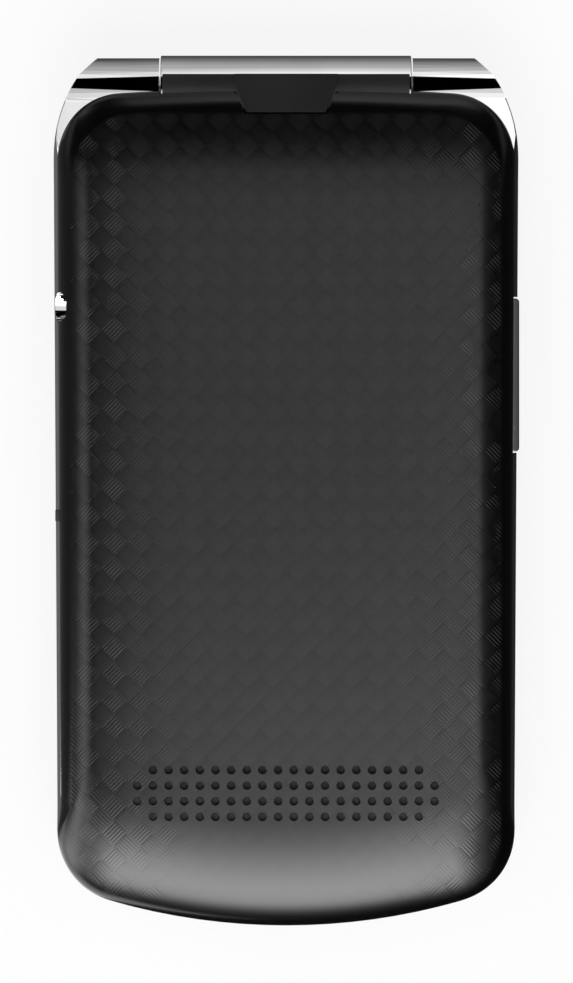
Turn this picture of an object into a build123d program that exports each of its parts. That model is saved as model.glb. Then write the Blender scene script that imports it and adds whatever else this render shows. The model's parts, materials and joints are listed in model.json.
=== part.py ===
from build123d import *
import math
import os

os.makedirs("parts", exist_ok=True)

# A clamshell phone, closed, lying lid down: +Z through its thickness, +Y towards the hinge, millimetres.

# Whole phone
body_width = 55.0  # across the side frame where the shoulders begin
body_taper = 0.45  # each side comes in by this much at the foot
head_y = 51.5  # outermost line of the centre barrel
foot_y = -51.5  # outermost point of the foot
foot_bow_radius = 75.0
foot_corner_radius = 8.9
foot_corner_loss = 0.4  # how much of the foot's extra run each foot corner gives up
least_corner = 1.0
thickness = 18.4
lid_thickness = 8.2
closing_gap = 0.3
shell_wall = 1.2
fit_gap = 0.1  # between neighbouring pieces of one body
face_gap = 0.05  # between two faces that almost touch
running_gap = 0.05  # round shafts that turn in their bores
past = 1.0  # how far a cutting shape reaches past what it cuts
far_past = 5.0

# Hinge
centre_barrel_radius = 5.0
knuckle_radius = 4.7
barrel_half_length = 14.85
knuckle_gap = 0.15  # between the centre barrel and each knuckle
knuckle_inset = 3.1  # each knuckle ends this far inside the phone's side
knuckle_chamfer = 2.1
turning_gap = 0.25  # around the barrel, where the base sweeps past it
shoulder_y = 39.0  # where the sides start to curve in towards the knuckles
neck_angle = 20.0  # the lid's neck meets the barrel this far round from straight down
neck_low = 0.3
neck_start = 4.5  # the neck starts this far inside the lid's head
neck_bend = 3.0
neck_reach = 1.0

# Hinge cartridge and hollow pin
cartridge_radius = 2.9
cartridge_wall = 0.55
cartridge_length = 13.4
drive_wall = 0.5  # left between the drive block's pocket and the knuckle's chamfer
drive_half_flat = 2.3
drive_neck_radius = 1.45
cam_disc_length = 1.2
cam_length = 3.0
hinge_rod_radius = 0.9
spring_wire_radius = 0.25
spring_turns = 7
bush_radius = 2.55
bush_wall = 0.6
bush_reach = 6.0  # into the barrel
bush_seat = 2.0  # into the knuckle
flex_thickness = 0.15
lid_flex_width = 6.0
base_flex_width = 3.0
flex_clearance = 0.6  # around the base's flexible circuit
flex_drop = 0.8
bush_step = 0.3  # the hollow past the bush is narrower by this, so the bush has a seat

# Side frame
frame_low = 9.9
frame_high = 13.0
frame_wall = 1.6
frame_inner_corner = 3.0
crest_start_y = 36.0  # from here the frame's upper face climbs to the knuckles
shoulder_start_y = 41.2

# Battery cover
cover_gap = 0.1
cover_step = 0.5  # the cover's edge lies this far inside the frame's edge
cover_head_y = 47.4
cover_head_bow = 1.1
cover_corner_radius = 7.3
cover_wall = 0.9
cover_side_run = 4.2  # plan width of the rounded border
cover_head_run = 2.4
cover_foot_run = 11.5
cover_slope_y = 33.0  # from here the back curves down to the hinge
cover_slope_radius = 38.0
border_steps = 9  # flats that each rounded border is made of

# Tongue and lip of the rear housing, over the barrel
tongue_head_width = 12.3
tongue_foot_width = 9.3
tongue_head_y = 49.06
tongue_neck_y = 48.2
tongue_foot_y = 44.45
tongue_foot_z = 16.5
tongue_head_z = 15.0
notch_gap = 0.2
lip_wall = 0.65
lip_end_gap = 0.25
neck_length = 1.6  # the lip's neck ends this far before the hinge line
neck_wall = 1.15

# Loudspeaker grille
grille_pitch = 1.84
grille_row_pitch = 1.835
grille_hole_radius = 0.45
grille_y = -35.72
grille_counts = (18, 20, 20, 18)  # holes in each row

# Lid
lid_step = 0.3  # the lid's edge lies this far inside the frame's edge
lid_split = 5.2  # height where the lid's outer and inner covers meet
lid_head_y = 41.0
lid_corner_radius = 2.5
lid_edge_run = 3.0
lid_edge_fillet = 0.8
lid_board_inset = 7.5
lid_board_foot_y = -46.0
lid_board_head_y = 27.5
lid_board_low = 3.6
board_thickness = 0.9
post_radius = 1.2

# Displays, camera and earpiece in the lid
main_display_width = 42.7
main_display_length = 60.3
main_display_thickness = 2.3
main_display_y = -5.5
main_view_width = 36.8
main_view_length = 49.2
main_window_width = 46.4
main_window_length = 67.0
window_thickness = 0.8
window_corner = 2.0
outer_display_width = 31.0
outer_display_length = 27.0
outer_display_thickness = 2.1
outer_display_y = 4.0
outer_view_width = 26.0
outer_view_length = 22.0
outer_window_width = 34.0
outer_window_length = 30.0
camera_y = 30.0
camera_size = 8.0
camera_height = 3.2
lens_radius = 3.2
lens_ring_width = 0.9
earpiece_length = 14.0
earpiece_depth = 6.0
earpiece_height = 2.2
earpiece_y = -43.6
earpiece_slot_length = 3.2
earpiece_slot_width = 0.9
earpiece_slot_count = 3
magnet_size = 5.0
magnet_thickness = 1.5
magnet_x = -12.0
magnet_y = -42.5

# Screws and the rubber bumpers over them
screw_radius = 0.7
screw_head_radius = 1.3
screw_head_height = 0.7
screw_slot_half_length = 0.8
screw_slot_half_width = 0.15
screw_slot_depth = 0.35
base_screw_tip = 0.4
boss_radius = 1.9
lid_screw_inset = 5.5  # from the phone's side
lid_screw_foot_y = -43.0
lid_screw_head_y = 36.4
base_screw_inset = 4.5
base_screw_foot_y = -40.2
base_screw_head_y = 37.2
bumper_radius = 1.5
bumper_proud = 0.2

# Keypad
front_step = 0.2
front_head_y = 41.15
front_edge_fillet = 0.8
front_corner = 0.6
post_inset = 3.0  # of the posts under the board, from its edges
post_foot_inset = 5.0
post_head_inset = 1.6
key_recess = 0.05
key_gap = 0.15
key_travel = 0.3
key_flange = 0.6
key_flange_thickness = 0.3
key_crown = 0.3
digit_width = 14.0
digit_depth = 9.0
digit_corner = 2.0
digit_pitch_x = 15.4
digit_pitch_y = 11.0
digit_first_y = 5.0
side_key_width = 12.0
side_key_depth = 7.6
side_key_x = 17.6
soft_key_y = 30.4
call_key_y = 18.4
nav_y = 24.8
nav_size = 20.0
nav_corner = 6.0
nav_tilt_room = 0.3
nav_hollow = 0.35  # over the OK key's flange
nav_dome_reach = 7.2
ok_radius = 4.6
membrane_width = 44.0
membrane_length = 70.0
membrane_y = 0.1
membrane_thickness = 0.35
membrane_corner = 2.0
pip_radius = 1.0  # of the pips that press the domes
pip_height = 0.08
dome_radius = 2.4
dome_height = 0.15

# Volume key
volume_length = 18.1
volume_y = 13.58
volume_proud = 0.22
volume_height = 2.35
volume_corner = 0.45
volume_flange = 0.5
volume_flange_thickness = 0.5
volume_rock = 0.4
volume_edge = 0.15
volume_room_depth = 4.0
switch_height = 1.3
switch_board_margin = 0.3
switch_length = 3.4
switch_depth = 2.2
switch_reach = 6.0

# Sockets on the left side and the foot, and the small plug on the left side
jack_y = 21.55
jack_z = 14.5
jack_bore_radius = 1.75
jack_collar_radius = 2.25
jack_collar_inset = 1.75
jack_collar_length = 2.2
jack_length = 12.0
jack_width = 6.0
jack_height = 4.6
jack_scoop_radius = 2.1
plug_y = -3.05
plug_z = 12.9
plug_radius = 0.7
plug_scoop_radius = 1.0
left_hole_depth = 5.0
jack_end_wall = 0.8
usb_width = 7.5
usb_height = 2.45
usb_depth = 5.6
usb_wall = 0.25
usb_tongue_thickness = 0.6
usb_tongue_inset = 1.6
usb_tongue_setback = 0.6
usb_corner = 0.4
usb_back_wall = 0.6
microphone_x = 8.0
microphone_y = -44.2
microphone_radius = 2.0
microphone_hole_radius = 0.5
microphone_gap = 0.3

# Main board and what stands on it
board_inset = 7.0  # from the phone's sides
board_foot_y = -47.0
board_head_y = 38.6
board_corner = 4.0
shield_width = 17.0
shield_depth = 11.4
shield_height = 1.0
shield_wall = 0.2
shield_corner = 0.5
shield_spacing = 1.4  # between the two cans
shield_room = 1.6
card_width = 27.0
card_depth = 13.0
card_height = 1.5
card_y = 32.0
card_slot_height = 0.8
card_floor = 0.3
card_rim = 1.0
card_corner = 0.4
contact_width = 9.0
contact_depth = 1.8
contact_height = 3.4
contact_count = 3
blade_width = 1.0
blade_height = 1.2
blade_inset = 0.4  # under the carrier's top
blade_gap = 0.02
floor_gap = 0.5
floor_wall = 0.6

# Battery and what stands round it
battery_inset = 10.5  # from the phone's sides
battery_length = 46.0
battery_thickness = 4.0
battery_corner = 1.5
battery_foot_y = -28.3
bay_gap = 0.3
bay_wall = 0.8
bay_wall_height = 2.4
speaker_length = 30.0
speaker_depth = 12.2
speaker_height = 3.4
speaker_mesh_thickness = 0.2
mesh_margin = 1.0
speaker_corner = 2.0
speaker_rim = 2.0
speaker_dish = 0.4
speaker_lift = 0.45  # over the chassis floor
chamber_wall_height = 3.0
motor_radius = 1.8
motor_length = 8.0
motor_inset = 6.5
motor_foot_y = -38.0
motor_edge = 0.3
motor_shaft_seat = 2.0
cradle_half_width = 1.2
cradle_inset = 1.0
weight_gap = 0.3  # between the motor's can and its weight
weight_hub_wall = 0.4
shaft_tip = 0.5
weight_radius = 1.65
weight_length = 2.8
motor_shaft_radius = 0.4
antenna_half_length = 17.0
antenna_depth = 5.0
antenna_height = 2.6

# Heights and places that follow from the sizes above
hinge_y = head_y - centre_barrel_radius
hinge_z = thickness / 2
half_width = body_width / 2
knuckle_end_x = half_width - knuckle_inset
lid_screw_x = half_width - lid_screw_inset
base_screw_x = half_width - base_screw_inset
board_width = body_width - 2 * board_inset
lid_board_width = body_width - 2 * lid_board_inset
motor_x = half_width - motor_inset
battery_width = body_width - 2 * battery_inset
side_length = shoulder_y - foot_y - foot_corner_radius
knuckle_start_x = barrel_half_length + knuckle_gap
drive_length = knuckle_end_x - knuckle_chamfer - drive_wall - knuckle_start_x
knuckle_tip_y = hinge_y + knuckle_radius
knuckle_high = hinge_z + knuckle_radius
lip_inside = centre_barrel_radius + turning_gap
lip_radius = lip_inside + lip_wall
pocket_head_y = shoulder_y + 0.5
base_low = lid_thickness + closing_gap
front_inside = base_low + shell_wall
key_flange_low = front_inside + face_gap
key_flange_high = key_flange_low + key_flange_thickness
membrane_low = key_flange_high + key_travel + face_gap
membrane_high = membrane_low + membrane_thickness
board_low = membrane_high + dome_height + fit_gap
board_high = board_low + board_thickness
board_middle = (board_low + board_high) / 2
floor_low = board_high + floor_gap
floor_high = floor_low + floor_wall
cover_low = frame_high + cover_gap
cover_inside = thickness - cover_wall
cover_runs = (cover_side_run, cover_head_run, cover_foot_run)
lid_runs = (lid_edge_run, lid_edge_run, lid_edge_run)
lid_board_high = lid_board_low + board_thickness
inner_cover_low = lid_split + face_gap
inner_cover_inside = lid_thickness - shell_wall
window_seat = lid_thickness - face_gap - window_thickness
screw_seat = inner_cover_inside - 0.15
battery_head_y = battery_foot_y + battery_length
battery_low = floor_high + face_gap
bay_high = floor_high + bay_wall_height
speaker_low = battery_low + speaker_lift
motor_z = floor_high + motor_radius + fit_gap
usb_foot_y = foot_y + 0.2
volume_low = frame_high - face_gap - volume_height
cartridge_start_x = -barrel_half_length + 0.25
cartridge_end_x = cartridge_start_x + cartridge_length
chamber_start_x = cartridge_end_x + 1.0
chamber_end_x = barrel_half_length - bush_reach
lid_screws = [(side * lid_screw_x, y) for side in (-1, 1) for y in (lid_screw_foot_y, lid_screw_head_y)]
base_screws = [(side * base_screw_x, y) for side in (-1, 1) for y in (base_screw_foot_y, base_screw_head_y)]


def half_at(y):
    return half_width - body_taper * (shoulder_y - y) / side_length


def block(x, y, z):
    size = [high - low for low, high in (x, y, z)]
    middle = [(low + high) / 2 for low, high in (x, y, z)]
    return Pos(*middle) * Box(*size)


def bar(half_x, y, z):
    return block((-half_x, half_x), y, z)


def plate(width, length, corner, y, z, x=0.0):
    return Pos(x, y, z[0]) * extrude(RectangleRounded(width, length, corner), z[1] - z[0])


def rod_x(radius, x, y=hinge_y, z=hinge_z):
    return Pos((x[0] + x[1]) / 2, y, z) * Rot(0, 90, 0) * Cylinder(radius, x[1] - x[0])


def rod_y(radius, x, y, z):
    return Pos(x, (y[0] + y[1]) / 2, z) * Rot(90, 0, 0) * Cylinder(radius, y[1] - y[0])


def rod_z(radius, x, y, z):
    return Pos(x, y, (z[0] + z[1]) / 2) * Cylinder(radius, z[1] - z[0])


# A flat shape drawn in Y and Z, made solid both ways along X.
def profile_yz(points, half_x):
    return extrude(Plane.YZ * make_face(Polyline(*points, close=True)), half_x, both=True)


# A thin strip that follows a line drawn in Y and Z.
def strip_yz(line, x):
    face = trace(line, flex_thickness)
    return Pos(x[0], 0, 0) * extrude(Plane.YZ * face, x[1] - x[0])


# The phone's outline: tapering sides, a bowed foot, rounded corners and a head that may be bowed.
def outline(step, head, corner, foot=0.0, bow=0.0):
    foot_edge = foot_y + step + foot
    bow_radius = foot_bow_radius - step - foot
    foot_half = half_at(foot_y) - step
    foot_side_y = foot_edge + bow_radius - math.sqrt(bow_radius**2 - foot_half**2)
    head_side_y = head - bow
    head_half = half_at(head_side_y) - step
    head_left, head_right = (-head_half, head_side_y), (head_half, head_side_y)
    foot_left, foot_right = (-foot_half, foot_side_y), (foot_half, foot_side_y)
    head_line = Line(head_right, head_left)
    if bow > 0:
        head_line = ThreePointArc(head_right, (0, head), head_left)
    foot_line = ThreePointArc(foot_left, (0, foot_edge), foot_right)
    face = make_face([Line(head_left, foot_left), foot_line, Line(foot_right, head_right), head_line])
    corners = face.vertices().sort_by(Axis.Y)
    face = fillet(corners[:2], max(foot_corner_radius - step - foot_corner_loss * foot, least_corner))
    return fillet(face.vertices().sort_by(Axis.Y)[-2:], corner)


def slab(step, head, corner, z, foot=0.0, bow=0.0):
    return Pos(0, 0, z[0]) * extrude(outline(step, head, corner, foot, bow), z[1] - z[0])


# A slab whose border rounds over, as a quarter of an ellipse, from its edge height to its flat.
def pillow(step, head, corner, edge_z, rise, runs, bow=0.0):
    side_run, head_run, foot_run = runs
    sections = []
    for n in range(border_steps + 1):
        turn = math.pi / 2 * n / border_steps
        share = 1 - math.cos(turn)
        height = edge_z + rise * math.sin(turn)
        foot = (foot_run - side_run) * share
        ring = outline(step + side_run * share, head - head_run * share, corner, foot, bow)
        sections.append(Pos(0, 0, height) * ring)
    return loft(sections, ruled=True)


# The frame's outline: the sides curve in at the shoulders and end in the knuckles' chamfers.
def frame_outline():
    foot_half = half_at(foot_y)
    foot_side_y = foot_y + foot_bow_radius - math.sqrt(foot_bow_radius**2 - foot_half**2)
    side = (half_width, shoulder_y)
    knuckle = (knuckle_end_x, knuckle_tip_y - knuckle_chamfer)
    chamfer = (knuckle_end_x - knuckle_chamfer, knuckle_tip_y)
    foot_right = (foot_half, foot_side_y)
    right = [
        Line(foot_right, side),
        TangentArc(side, knuckle, tangent=(0, 1)),
        Line(knuckle, chamfer),
        Line(chamfer, (0, knuckle_tip_y)),
    ]
    left = [mirror(edge, about=Plane.YZ) for edge in right]
    foot_line = ThreePointArc((-foot_half, foot_side_y), (0, foot_y), foot_right)
    face = make_face([foot_line, *right, *left])
    return fillet(face.vertices().sort_by(Axis.Y)[:2], foot_corner_radius)


# Everything under the frame's upper face, with a gap added.
def frame_envelope(gap):
    high, crest = frame_high + gap, knuckle_high + gap
    start = foot_y - far_past
    ramp = [(start, 0), (start, high), (crest_start_y, high), (hinge_y, crest), (hinge_y, 0)]
    reach = half_width + far_past
    return profile_yz(ramp, reach) + rod_x(knuckle_radius + gap, (-reach, reach))


# Everything under the cover's back, lowered by a depth: flat, then curving down to the hinge.
def back_envelope(depth):
    reach = half_width + far_past
    flat = bar(reach, (foot_y - far_past, cover_slope_y), (0, thickness - depth))
    centre_z = thickness - cover_slope_radius
    return flat + rod_x(cover_slope_radius - depth, (-reach, reach), cover_slope_y, centre_z)


# The hollow under the battery cover, drawn in by a gap.
def cover_room(gap):
    step, head = cover_step + cover_wall + gap, cover_head_y - cover_wall - gap
    corner = cover_corner_radius - cover_wall
    rise = cover_inside - gap - cover_low
    room = pillow(step, head, corner, cover_low, rise, cover_runs, cover_head_bow)
    room += slab(step, head, corner, (floor_low, cover_low), 0.0, cover_head_bow)
    return room & back_envelope(cover_wall + gap)


def key_shape(kind, gap):
    if kind == "digit":
        return RectangleRounded(digit_width + 2 * gap, digit_depth + 2 * gap, digit_corner + gap)
    if kind == "side":
        return RectangleRounded(side_key_width + 2 * gap, side_key_depth + 2 * gap, digit_corner + gap)
    if kind == "nav":
        return RectangleRounded(nav_size + 2 * gap, nav_size + 2 * gap, nav_corner + gap)
    return Circle(ok_radius + gap)


def key_places():
    places = {
        "key_soft_left": ("side", side_key_x, soft_key_y),
        "key_soft_right": ("side", -side_key_x, soft_key_y),
        "key_call": ("side", side_key_x, call_key_y),
        "key_end": ("side", -side_key_x, call_key_y),
        "key_ok": ("ok", 0.0, nav_y),
    }
    rows = (("1", "2", "3"), ("4", "5", "6"), ("7", "8", "9"), ("star", "0", "hash"))
    for row, names in enumerate(rows):
        for column, name in enumerate(names):
            x = digit_pitch_x * (1 - column)
            places["key_" + name] = ("digit", x, digit_first_y - row * digit_pitch_y)
    return places


def key_cap(kind):
    low = base_low + key_recess
    cap = Pos(0, 0, low) * extrude(key_shape(kind, 0), key_flange_high - low)
    cap = fillet(cap.faces().sort_by(Axis.Z)[0].edges(), key_crown)
    flange = key_shape(kind, key_flange)
    return cap + Pos(0, 0, key_flange_low) * extrude(flange, key_flange_thickness)


def key(kind, x, y):
    return Pos(x, y, 0) * key_cap(kind)


# The ring round the OK key, which tilts on the dome sheet: its flange has room above and below.
def nav_ring():
    ring = key_cap("nav")
    ring -= rod_z(ok_radius + key_gap, 0, 0, (0, thickness))
    ring -= rod_z(ok_radius + key_flange + key_gap, 0, 0, (front_inside - nav_hollow, thickness))
    return Pos(0, nav_y, 0) * ring


def grille_places():
    places = []
    for row, count in enumerate(grille_counts):
        y = grille_y + grille_row_pitch * ((len(grille_counts) - 1) / 2 - row)
        places += [(grille_pitch * (n - (count - 1) / 2), y) for n in range(count)]
    return places


def tongue_plan(gap):
    head, foot = tongue_head_width / 2 + gap, tongue_foot_width / 2 + gap
    points = [
        (-head, head_y),
        (-head, tongue_neck_y),
        (-foot, tongue_foot_y - gap),
        (foot, tongue_foot_y - gap),
        (head, tongue_neck_y),
        (head, head_y),
    ]
    return extrude(make_face(Polyline(*points, close=True)), thickness + past)


# A round hole in from the left side, and a round hollow in the side's edge.
def left_hole(radius, y, z):
    return rod_x(radius, (-half_width - past, -half_width + left_hole_depth), y, z)


def scoop(radius, y, z):
    return Pos(-half_at(y), y, z) * Sphere(radius)


def battery_cover():
    rise = thickness - cover_low
    corner = cover_corner_radius
    cover = pillow(cover_step, cover_head_y, corner, cover_low, rise, cover_runs, cover_head_bow)
    cover &= back_envelope(0)
    cover -= cover_room(0)
    cover -= frame_envelope(cover_gap)
    cover -= rod_x(lip_radius + cover_gap, (-knuckle_start_x, knuckle_start_x))
    cover -= tongue_plan(notch_gap)
    for x, y in grille_places():
        cover -= rod_z(grille_hole_radius, x, y, (cover_low, thickness + past))
    collar = jack_collar_radius + cover_gap
    cover -= scoop(jack_scoop_radius, jack_y, jack_z) + left_hole(collar, jack_y, jack_z)
    slot_x = (-half_width - past, -half_width + left_hole_depth)
    cover -= block(slot_x, (jack_y - collar, jack_y + collar), (0, jack_z))
    return cover - scoop(plug_scoop_radius, plug_y, plug_z)


def speaker_mesh():
    width = grille_pitch * max(grille_counts)
    depth = grille_row_pitch * len(grille_counts) + mesh_margin
    high = cover_inside - 2 * fit_gap
    y = (grille_y - depth / 2, grille_y + depth / 2)
    mesh = bar(width / 2, y, (high - speaker_mesh_thickness, high))
    return mesh & cover_room(fit_gap)


def drive_shape(gap, x):
    half = drive_half_flat + gap
    flats = block(x, (hinge_y - half, hinge_y + half), (0, thickness))
    return rod_x(cartridge_radius + gap - running_gap, x) & flats


def volume_room(gap):
    half = volume_length / 2 + gap
    x = (half_width - volume_room_depth, half_width + past)
    return block(x, (volume_y - half, volume_y + half), (volume_low - gap, thickness))


# Room for the flexible circuit from the right knuckle's hollow to the board.
def flex_room():
    start = knuckle_start_x + bush_seat
    end = start + base_flex_width + flex_clearance
    z = (hinge_z - flex_drop, board_high + flex_clearance)
    passage = block((start, end), (pocket_head_y - past, hinge_y), z)
    return passage + rod_x(bush_radius - bush_step, (start - fit_gap, end))


def side_frame():
    blank = extrude(frame_outline(), thickness)
    band = bar(half_width + past, (foot_y - past, shoulder_start_y), (frame_low, thickness))
    shoulders = bar(half_width + past, (shoulder_start_y, hinge_y), (base_low, thickness))
    knuckles = rod_x(knuckle_radius, (-half_width, half_width))
    frame = blank & (((band + shoulders) & frame_envelope(0)) + knuckles)
    frame -= slab(frame_wall, pocket_head_y, frame_inner_corner, (0, thickness))
    frame -= bar(knuckle_start_x, (front_head_y, head_y + past), (0, thickness))
    frame -= bar(knuckle_start_x, (pocket_head_y - past, head_y), (frame_high, thickness))
    frame -= drive_shape(running_gap + face_gap, (-knuckle_start_x - drive_length, -knuckle_start_x + past))
    frame -= rod_x(bush_radius, (0, knuckle_start_x + bush_seat))
    frame -= flex_room()
    usb_half = usb_width / 2 + fit_gap
    usb_z = (board_middle - usb_height / 2 - fit_gap, board_middle + usb_height / 2 + fit_gap)
    frame -= bar(usb_half, (foot_y - past, foot_y + usb_depth), usb_z)
    frame -= volume_room(key_gap)
    frame -= left_hole(jack_collar_radius + fit_gap, jack_y, jack_z)
    return frame - left_hole(plug_radius, plug_y, plug_z)


def front_cover():
    cover = slab(front_step, front_head_y, front_corner, (base_low, frame_low - face_gap))
    cover = fillet(cover.faces().sort_by(Axis.Z)[0].edges(), front_edge_fillet)
    cover -= slab(frame_wall, pocket_head_y, frame_inner_corner, (front_inside, thickness))
    cover -= Pos(0, nav_y, base_low - past) * extrude(key_shape("nav", key_gap), thickness)
    pocket = extrude(key_shape("nav", key_flange + key_gap), thickness)
    cover -= Pos(0, nav_y, front_inside - nav_tilt_room) * pocket
    for kind, x, y in key_places().values():
        if kind != "ok":
            cover -= Pos(x, y, base_low - past) * extrude(key_shape(kind, key_gap), thickness)
    cover -= rod_z(microphone_hole_radius, microphone_x, microphone_y, (0, thickness))
    for x, y in base_screws:
        cover += rod_z(boss_radius, x, y, (front_inside, floor_low - face_gap))
        cover -= rod_z(screw_radius, x, y, (front_inside, floor_low))
    for x in (-board_width / 2 + post_inset, board_width / 2 - post_inset):
        for y in (board_foot_y + post_foot_inset, board_head_y - post_head_inset):
            cover += rod_z(post_radius, x, y, (front_inside, board_low))
    return cover


# The chassis that the battery lies in. Its head carries the lip over the barrel and the tongue.
def rear_housing():
    step, corner = frame_wall + fit_gap, frame_inner_corner - fit_gap
    housing = slab(step, pocket_head_y - fit_gap, corner, (floor_low, floor_high))
    rim = slab(step, pocket_head_y - fit_gap, corner, (floor_high, bay_high))
    rim -= slab(step + bay_wall, pocket_head_y - fit_gap - bay_wall, corner - bay_wall, (floor_low, thickness))
    half = battery_width / 2 + bay_gap
    foot, head = battery_foot_y - bay_gap, battery_head_y + bay_gap
    bay = bar(half + bay_wall, (foot - bay_wall, head + bay_wall), (floor_low, bay_high))
    bay -= bar(half, (foot, head), (floor_low, thickness))
    chamber_half = speaker_length / 2 + fit_gap
    chamber_foot = grille_y - speaker_depth / 2 - fit_gap
    chamber_high = speaker_low + chamber_wall_height
    chamber = bar(chamber_half + bay_wall, (chamber_foot - bay_wall, foot), (floor_low, chamber_high))
    chamber -= bar(chamber_half, (chamber_foot, foot - bay_wall), (floor_low, thickness))
    housing += (rim + bay + chamber) & cover_room(2 * fit_gap)
    shield_y = shield_depth / 2 + 2 * fit_gap
    shield_span = (grille_y - shield_y, grille_y + shield_y)
    housing -= bar(shield_width + shield_room, shield_span, (floor_low, floor_high))
    card_half, card_y_half = card_width / 2 + fit_gap, card_depth / 2 + fit_gap
    housing -= bar(card_half, (card_y - card_y_half, card_y + card_y_half), (floor_low, thickness))
    contact_y = battery_head_y + bay_gap
    housing -= bar(contact_width / 2 + fit_gap, (contact_y - fit_gap, contact_y + contact_depth + fit_gap),
                   (floor_low, thickness))
    jack_half = jack_width / 2 + fit_gap
    jack_x = (-half_width, -half_width + jack_collar_inset + jack_length + fit_gap)
    jack_low = jack_z - jack_height / 2 - fit_gap
    housing -= block(jack_x, (jack_y - jack_half, jack_y + jack_half), (jack_low, thickness))
    housing -= left_hole(jack_collar_radius + fit_gap, jack_y, jack_z)
    switch_start = switch_board_end() - switch_depth - 2 * fit_gap
    flange_half = volume_length / 2 + volume_flange + volume_rock
    switch_y = (volume_y - flange_half, volume_y + flange_half)
    housing -= block((switch_start, half_width), switch_y, (floor_low, thickness))
    usb_end = usb_foot_y + usb_depth
    housing -= bar(usb_width / 2 + fit_gap, (foot_y, usb_end + fit_gap), (floor_low, floor_high))
    for x, y in base_screws:
        housing += rod_z(boss_radius, x, y, (floor_low, floor_high))
        housing -= rod_z(screw_radius + face_gap, x, y, (floor_low, thickness))
    housing += rear_lip()
    motor_end = motor_foot_y + motor_length
    cradle_x = (motor_x - cradle_half_width, motor_x + cradle_half_width)
    cradle = block(cradle_x, (motor_foot_y + cradle_inset, motor_end - cradle_inset), (floor_high, motor_z))
    cradle -= rod_y(motor_radius + face_gap, motor_x, (motor_foot_y - past, motor_end + past), motor_z)
    return housing + cradle


def rear_lip():
    half = barrel_half_length - lip_end_gap
    lip = rod_x(lip_radius, (-half, half))
    lip &= bar(half, (front_head_y, tongue_head_y), (cover_low, thickness))
    low = frame_high + face_gap
    neck = bar(half, (pocket_head_y - bay_wall, hinge_y - neck_length), (low, low + neck_wall))
    side = [
        (tongue_foot_y, low),
        (tongue_foot_y, tongue_foot_z),
        (tongue_head_y, tongue_head_z),
        (tongue_head_y, low),
    ]
    tongue = profile_yz(side, tongue_head_width) & tongue_plan(0)
    return (lip + neck + tongue) - rod_x(lip_inside, (-half - past, half + past))


def volume_key():
    outer_x = half_at(volume_y) + volume_proud
    wall_x = half_at(volume_y) - frame_wall
    flange_x = (wall_x - volume_rock - volume_flange_thickness, wall_x - volume_rock)
    low, high = volume_low, volume_low + volume_height
    half = volume_length / 2
    body = block((flange_x[0], outer_x), (volume_y - half, volume_y + half), (low, high))
    body = fillet(body.edges().filter_by(Axis.Z).sort_by(Axis.X)[-2:], volume_corner)
    body = fillet(body.faces().sort_by(Axis.X)[-1].edges(), volume_edge)
    half += volume_flange
    return body + block(flange_x, (volume_y - half, volume_y + half), (low - volume_flange, high))


def keypad_membrane():
    mat = plate(membrane_width, membrane_length, membrane_corner, membrane_y, (membrane_low, membrane_high))
    for _, x, y in key_places().values():
        mat += rod_z(pip_radius, x, y, (membrane_low, membrane_high + pip_height))
    return mat


def dome_places():
    places = [(x, y) for _, x, y in key_places().values()]
    places += [(0, nav_y + side * nav_dome_reach) for side in (-1, 1)]
    return places + [(side * nav_dome_reach, nav_y) for side in (-1, 1)]


# The domes that the keys press, taped to the board's front.
def metal_domes():
    return [rod_z(dome_radius, x, y, (board_low - dome_height, board_low)) for x, y in dome_places()]


# How far right the board reaches beside the volume key, to carry its switches.
def switch_board_end():
    return half_at(volume_y) - frame_wall - volume_rock - volume_flange_thickness - switch_board_margin


def main_board():
    middle_y = (board_foot_y + board_head_y) / 2
    length = board_head_y - board_foot_y
    board = plate(board_width, length, board_corner, middle_y, (board_low, board_high))
    ear = switch_board_end()
    ear_half = switch_reach + switch_length
    ear_y = (volume_y - ear_half, volume_y + ear_half)
    board += block((board_width / 2 - past, ear), ear_y, (board_low, board_high))
    usb_end = usb_foot_y + usb_depth
    board -= bar(usb_width / 2 + fit_gap, (board_foot_y - past, usb_end + fit_gap), (board_low, board_high))
    pieces = [board]
    for side in (-1, 1):
        y = volume_y + side * switch_reach
        pieces.append(block((ear - switch_depth, ear), (y - switch_length / 2, y + switch_length / 2),
                            (board_high, board_high + switch_height)))
    microphone_z = (front_inside + microphone_gap, board_low)
    pieces.append(rod_z(microphone_radius, microphone_x, microphone_y, microphone_z))
    contact_y = battery_head_y + bay_gap
    carrier_z = (board_high, board_high + contact_height)
    pieces.append(bar(contact_width / 2, (contact_y, contact_y + contact_depth), carrier_z))
    return Compound(pieces + metal_domes() + battery_contacts())


def battery_contacts():
    start = battery_head_y + blade_gap
    high = board_high + contact_height - blade_inset
    blades = []
    for n in range(contact_count):
        x = (n - (contact_count - 1) / 2) * contact_width / contact_count
        blade_x = (x - blade_width / 2, x + blade_width / 2)
        blades.append(block(blade_x, (start, battery_head_y + bay_gap), (high - blade_height, high)))
    return blades


def shield_cans():
    cans = []
    for side in (-1, 1):
        x = side * (shield_width + shield_spacing) / 2
        can_z = (board_high, board_high + shield_height)
        can = plate(shield_width, shield_depth, shield_corner, grille_y, can_z, x)
        width, depth = shield_width - 2 * shield_wall, shield_depth - 2 * shield_wall
        inner_z = (board_high - past, board_high + shield_height - shield_wall)
        inner = plate(width, depth, shield_corner - shield_wall, grille_y, inner_z, x)
        cans.append(can - inner)
    return Compound(cans)


def card_holder():
    z = (board_high, board_high + card_height)
    holder = plate(card_width, card_depth, card_corner, card_y, z)
    tray_y = (card_y - card_depth, card_y + card_depth / 2 - card_rim)
    tray_z = (z[0] + card_floor, z[0] + card_floor + card_slot_height)
    return holder - bar(card_width / 2 - card_rim, tray_y, tray_z)


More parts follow.
